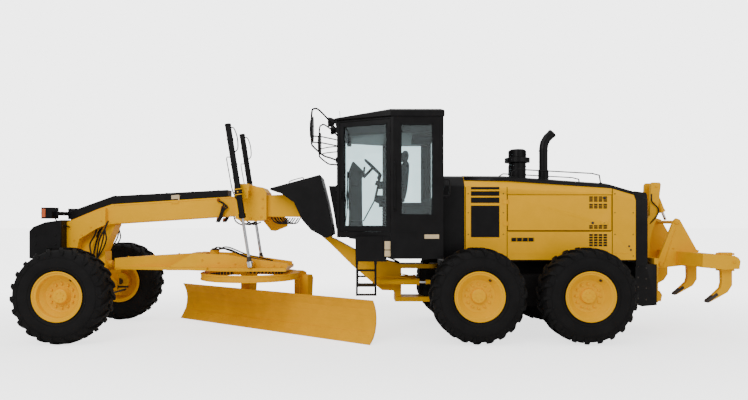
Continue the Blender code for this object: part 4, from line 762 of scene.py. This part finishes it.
# ---------------------------------------------------------------- drawbar, circle teeth, blade backs
bm = bmesh.new()
for side in (1, -1):
    for s0, z0 in ((1.75, 1.12), (2.00, 1.08), (2.25, 1.06), (2.85, 1.03), (2.96, 1.02)):
        bolt(bm, at(side * 0.325, s0, z0), (side, 0, 0), 0.012)
    for s0 in (1.85, 2.20, 2.70, 2.95):
        bolt(bm, at(side * 0.44, s0, 1.0095), (0, 0, 1), 0.014)
    for path in ([(1.25, 1.012), (1.70, 1.013), (2.30, 1.013), (3.0, 1.013)],):
        add_tube(bm, [at(side * 0.328, s0, z0) for s0, z0 in path], 0.004, 6)
for s0 in (0.50, 0.90, 1.30):
    bolt(bm, at(0.0, s0, 1.14 + (s0 - 0.33) * 0.065), (0, -0.06, 1), 0.012)
finish_mesh("drawbar_bolts", bm, YELLOW_LOW, "drawbar")
bm = bmesh.new()
for k in range(4):
    a0 = 2 * math.pi * k / 4
    bolt(bm, at(0.085 * math.cos(a0), 1.86 + 0.085 * math.sin(a0), 1.169), (0, 0, 1), 0.011)
add_lathe(bm, at(0, 1.86, 1.26), (0, 0, 1), [(0.0, 0.0), (0.0, 0.060), (0.012, 0.060), (0.018, 0.045), (0.030, 0.040), (0.030, 0.0)], 28)
add_lathe(bm, at(0, 1.86, 1.168), (0, 0, 1), [(0.0, 0.074), (0.0, 0.080), (0.012, 0.080), (0.012, 0.074)], 32)
finish_mesh("slew_drive_parts", bm, IRON, "drawbar")
hose("drawbar_hoses", [[(0.10, 1.86, 1.27), (0.16, 1.96, 1.31), (0.20, 2.20, 1.24), (0.24, 2.50, 1.13), (0.22, 2.80, 1.06)], [(-0.06, 1.90, 1.27), (-0.10, 2.05, 1.30), (-0.14, 2.35, 1.18), (-0.20, 2.75, 1.08)],
                       [(0.05, 1.92, 1.27), (0.10, 2.10, 1.28), (0.10, 2.40, 1.16), (0.12, 2.85, 1.06)]], 0.011, "drawbar", look=HOSE)
bm = bmesh.new()
teeth = 64
for k in range(teeth):
    a0 = 2 * math.pi * k / teeth; h = math.pi / teeth
    pts = []
    for dr, da in ((0.667, -0.55), (0.640, -0.28), (0.640, 0.28), (0.667, 0.55)):
        pts.append(at(dr * math.cos(a0 + da * h), 2.434 + dr * math.sin(a0 + da * h), 0.830))
    add_prism(bm, pts, (0, 0, 0.055))
finish_mesh("circle_teeth", bm, IRON, "circle")
bm = bmesh.new()
add_lathe(bm, at(0, 2.434, 0.815), (0, 0, 1), [(0.0, 0.764), (0.0, 0.772), (0.018, 0.772), (0.018, 0.764)], 72)
add_lathe(bm, at(0, 2.434, 0.897), (0, 0, 1), [(0.0, 0.764), (0.0, 0.772), (0.018, 0.772), (0.018, 0.764)], 72)
for t in (0.55, -0.55):
    for n, z in ((-0.30, 0.87), (-0.45, 0.885), (-0.60, 0.80), (-0.585, 0.62)):
        p = blade(t + (0.05 if t > 0 else -0.05), n, z)
        bolt(bm, p, Vector((ca, sa, 0)) * (1 if t > 0 else -1), 0.015)
finish_mesh("circle_ribs", bm, YELLOW_LOW, "circle")
bm = bmesh.new()
back = -0.0927 - 0.163
for t in (-0.42, 0.42):
    for z in (0.205, 0.435):
        for off in (-0.09, 0.09):
            bolt(bm, blade(t + off, back - 0.030, z), Vector((-sa, ca, 0)), 0.014)
for t in (-1.25, -0.85, 0.0, 0.85, 1.25, 1.55):
    for z in (0.205, 0.435):
        add_tube(bm, [blade(t - 0.05, back - 0.031, z + 0.016), blade(t + 0.05, back - 0.031, z + 0.016)], 0.004, 6)
finish_mesh("blade_back_bolts", bm, YELLOW_LOW, "moldboard")
bm = bmesh.new()
side_front = [(-0.0927 + 0.004, 0.006), (-0.155 + 0.004, 0.080), (-0.203 + 0.004, 0.170), (-0.228 + 0.004, 0.270), (-0.2317 + 0.004, 0.340), (-0.2317 + 0.0005, 0.340), (-0.2275, 0.270), (-0.2030, 0.170), (-0.1547, 0.080), (-0.0927, 0.012)]
for t in (0.1856 - 2.018, 0.1856 + 2.018 - 0.20):
    pts = [blade(t, n, z) for n, z in side_front]
    add_prism(bm, pts, blade(t + 0.20, 0, 0) - blade(t, 0, 0))
finish_mesh("end_bits", bm, YELLOW_LOW, "moldboard", bevel=0.001)

# ---------------------------------------------------------------- ripper: shank tips, pins, pockets
bm = bmesh.new(); bm2 = bmesh.new(); bm3 = bmesh.new()
for x in (0.88, 0.0, -0.88):
    add_prism(bm, [at(x - 0.038, s0, z0) for s0, z0 in ((9.270, 0.660), (9.120, 0.548), (9.098, 0.560), (9.108, 0.590), (9.245, 0.700))], (0.076, 0, 0))
    for s0, z0 in ((9.29, 1.205), (9.29, 1.090), (9.485, 1.150)):
        for side in (1, -1):
            bolt(bm2, at(x + side * 0.034, s0, z0), (side, 0, 0), 0.010)
    # pocket plates round the shank, above and below the beam
    for z0, z1 in ((1.232, 1.262), (1.005, 1.030)):
        side_box(bm3, x - 0.065, x + 0.065, 9.285, 9.480, z0, z1)
for side in (1, -1):
    for s0, z0, r in ((9.0, 1.70, 0.034), (8.76, 1.05, 0.034)):
        add_lathe(bm2, at(side * 0.300, s0, z0), (side, 0, 0), [(0.0, 0.0), (0.0, r), (0.018, r), (0.022, r * 0.8), (0.022, 0.0)], 24)
    add_lathe(bm2, at(side * 1.0, 9.44, 1.135), (side, 0, 0), [(-0.002, 0.0), (-0.002, 0.020), (0.008, 0.020), (0.010, 0.015), (0.010, 0.0)], 20)
    for s0, z0 in ((8.95, 1.30), (9.06, 1.22)):
        bolt(bm2, at(side * 0.305, s0, z0), (side, 0, 0), 0.012)
    add_tube(bm3, [at(side * 0.308, 8.80, 1.06), at(side * 0.308, 8.99, 1.62)], 0.006, 6)
finish_mesh("ripper_tips", bm, IRON, "ripper", bevel=0.004)
finish_mesh("ripper_pins", bm2, YELLOW_LOW, "ripper")
finish_mesh("ripper_pockets", bm3, YELLOW, "ripper", bevel=0.004)
hose("ripper_hoses", [[(sx * 0.134, 8.70, 2.14), (sx * 0.15, 8.70, 2.02), (sx * 0.15, 8.79, 1.92), (sx * 0.146, 8.79, 1.82), (sx * 0.13, 8.70, 1.70), (sx * 0.09, 8.60, 1.60)] for sx in (1, -1)], 0.010, "chassis", look=HOSE)
bm = bmesh.new()
A, B = at(0, 8.78, 2.25), at(0, 9.0, 1.70)
d = (B - A).normalized()
add_lathe(bm, A + d * 0.385, d, [(0.0, 0.0445), (0.003, 0.050), (0.034, 0.050), (0.037, 0.042), (0.040, 0.0215), (0.020, 0.0215)], 28)
add_lathe(bm, A + d * 0.06, d, [(0.0, 0.0445), (0.0, 0.0485), (0.016, 0.0485), (0.016, 0.0445)], 28)
finish_mesh("ripper_barrel_rings", bm, YELLOW, "ripper_barrel")
bm = bmesh.new()
for side in (1, -1):
    for z0 in (0.62, 0.85, 1.08):
        bolt(bm, at(side * 0.44, 8.619, z0), (0, 1, 0), 0.016)
        bolt(bm, at(side * 0.20, 8.619, z0), (0, 1, 0), 0.016)
    for s0, z0 in ((8.625, 1.15), (8.645, 1.60), (8.755, 2.00), (8.775, 2.25)):
        bolt(bm, at(side * 0.130, s0, z0), (side, 0, 0), 0.012)
finish_mesh("ripper_mount_bolts", bm, YELLOW_LOW, "chassis")

# ---------------------------------------------------------------- articulation cylinders and hitch
bm = bmesh.new(); bm2 = bmesh.new()
for side in (1, -1):
    A, B = at(side * 0.30, 4.36, 0.79), at(side * 0.33, 5.24, 0.79)
    d = (B - A).normalized()
    add_lathe(bm, A + d * 0.695, d, [(0.0, 0.0212), (0.0, 0.0225), (0.108, 0.0225), (0.108, 0.0212)], 28)
    add_lathe(bm2, A + d * 0.66, d, [(0.0, 0.0445), (0.003, 0.052), (0.042, 0.052), (0.045, 0.044)], 28)
    add_lathe(bm2, A + d * 0.10, d, [(0.0, 0.0445), (0.0, 0.050), (0.020, 0.050), (0.020, 0.0445)], 28)
    add_tube(bm2, smooth_path([A + d * 0.11 + Vector((0, 0, 0.046)), A + d * 0.13 + Vector((0, 0, 0.075)), A + d * 0.40 + Vector((0, 0, 0.070)), A + d * 0.58 + Vector((0, 0, 0.046))], 6), 0.008, 8)
finish_mesh("steer_rods", bm, CHROME, "front")
finish_mesh("steer_glands", bm2, YELLOW_LOW, "front")
hose("hitch_hoses", [[(x, 4.30, 1.12 + 0.02 * k), (x + 0.02, 4.50, 1.16 + 0.03 * k), (x, 4.70, 1.10), (x - 0.01, 4.78, 1.062)] for k, x in enumerate((-0.10, -0.05, 0.0, 0.05, 0.10))], 0.011, "front", look=HOSE)

# ---------------------------------------------------------------- floor, light, camera
bm = bmesh.new()
bmesh.ops.create_grid(bm, x_segments=1, y_segments=1, size=140)
mesh = bpy.data.meshes.new("floor"); bm.to_mesh(mesh); bm.free()
floor = bpy.data.objects.new("floor", mesh); bpy.context.collection.objects.link(floor)
ground = bpy.data.materials.new("pale_floor"); ground.use_nodes = True
g = ground.node_tree.nodes["Principled BSDF"]; g.inputs["Base Color"].default_value = (0.83, 0.83, 0.82, 1); g.inputs["Roughness"].default_value = 0.8
g.inputs["Specular IOR Level"].default_value = 0.05
g.inputs["Emission Color"].default_value = (1, 1, 1, 1)
made, joined = ground.node_tree.nodes, ground.node_tree.links
# Camera rays see the floor glow, weaker near the machine than far off: painted shade round the machine, added to its
# real cast shadow.
seen = made.new("ShaderNodeLightPath"); where = made.new("ShaderNodeTexCoord"); squash = made.new("ShaderNodeVectorMath"); squash.operation = "MULTIPLY"
squash.inputs[1].default_value = (0.22, 0.13, 0.0)
far = made.new("ShaderNodeVectorMath"); far.operation = "LENGTH"; gain = made.new("ShaderNodeMapRange"); gain.interpolation_type = "SMOOTHSTEP"
gain.inputs["From Min"].default_value, gain.inputs["From Max"].default_value = 0.35, 1.7
gain.inputs["To Min"].default_value, gain.inputs["To Max"].default_value = 1.9, 3.3
lit = made.new("ShaderNodeMath"); lit.operation = "MULTIPLY"
joined.new(where.outputs["Object"], squash.inputs[0]); joined.new(squash.outputs["Vector"], far.inputs[0]); joined.new(far.outputs["Value"], gain.inputs["Value"])
joined.new(gain.outputs["Result"], lit.inputs[0]); joined.new(seen.outputs["Is Camera Ray"], lit.inputs[1])
joined.new(lit.outputs["Value"], g.inputs["Emission Strength"])
mesh.materials.append(ground)

world = bpy.data.worlds.new("studio"); bpy.context.scene.world = world; world.use_nodes = True
sky, wires = world.node_tree.nodes, world.node_tree.links
sky["Background"].inputs["Color"].default_value = (1.0, 1.0, 1.0, 1)
rays = sky.new("ShaderNodeLightPath"); power = sky.new("ShaderNodeMapRange")
power.inputs["To Min"].default_value, power.inputs["To Max"].default_value = 0.68, 4.2
wires.new(rays.outputs["Is Camera Ray"], power.inputs["Value"])
through = sky.new("ShaderNodeMath"); through.operation = "MULTIPLY_ADD"; through.inputs[1].default_value = 1.25
wires.new(rays.outputs["Is Transmission Ray"], through.inputs[0]); wires.new(power.outputs["Result"], through.inputs[2])
wires.new(through.outputs["Value"], sky["Background"].inputs["Strength"])


def lamp(name, place, target, size, watts, colour=(1, 1, 1)):
    data = bpy.data.lights.new(name, "AREA"); data.size = size; data.energy = watts; data.color = colour
    obj = bpy.data.objects.new(name, data); bpy.context.collection.objects.link(obj)
    obj.location = place
    obj.rotation_euler = (Vector(target) - Vector(place)).to_track_quat("-Z", "Y").to_euler()


lamp("key", (9.0, -5.0, 8.0), (0, 0, 1), 6.0, 760)
lamp("fill", (8.0, 8.0, 5.0), (0, 1, 1), 8.0, 240)
lamp("top", (-1.0, 0.0, 10.0), (0, 0, 1), 9.0, 320)

data = bpy.data.cameras.new("camera"); data.sensor_width = 36.0; data.lens = 28.155; data.shift_x = 12 / 748; data.shift_y = 21.5 / 748
data.clip_end = 300
camera = bpy.data.objects.new("camera", data); bpy.context.collection.objects.link(camera)
camera.location = at(9.25, 4.189, 1.71)
camera.rotation_euler = (math.pi / 2, 0, math.pi / 2)
bpy.context.scene.camera = camera
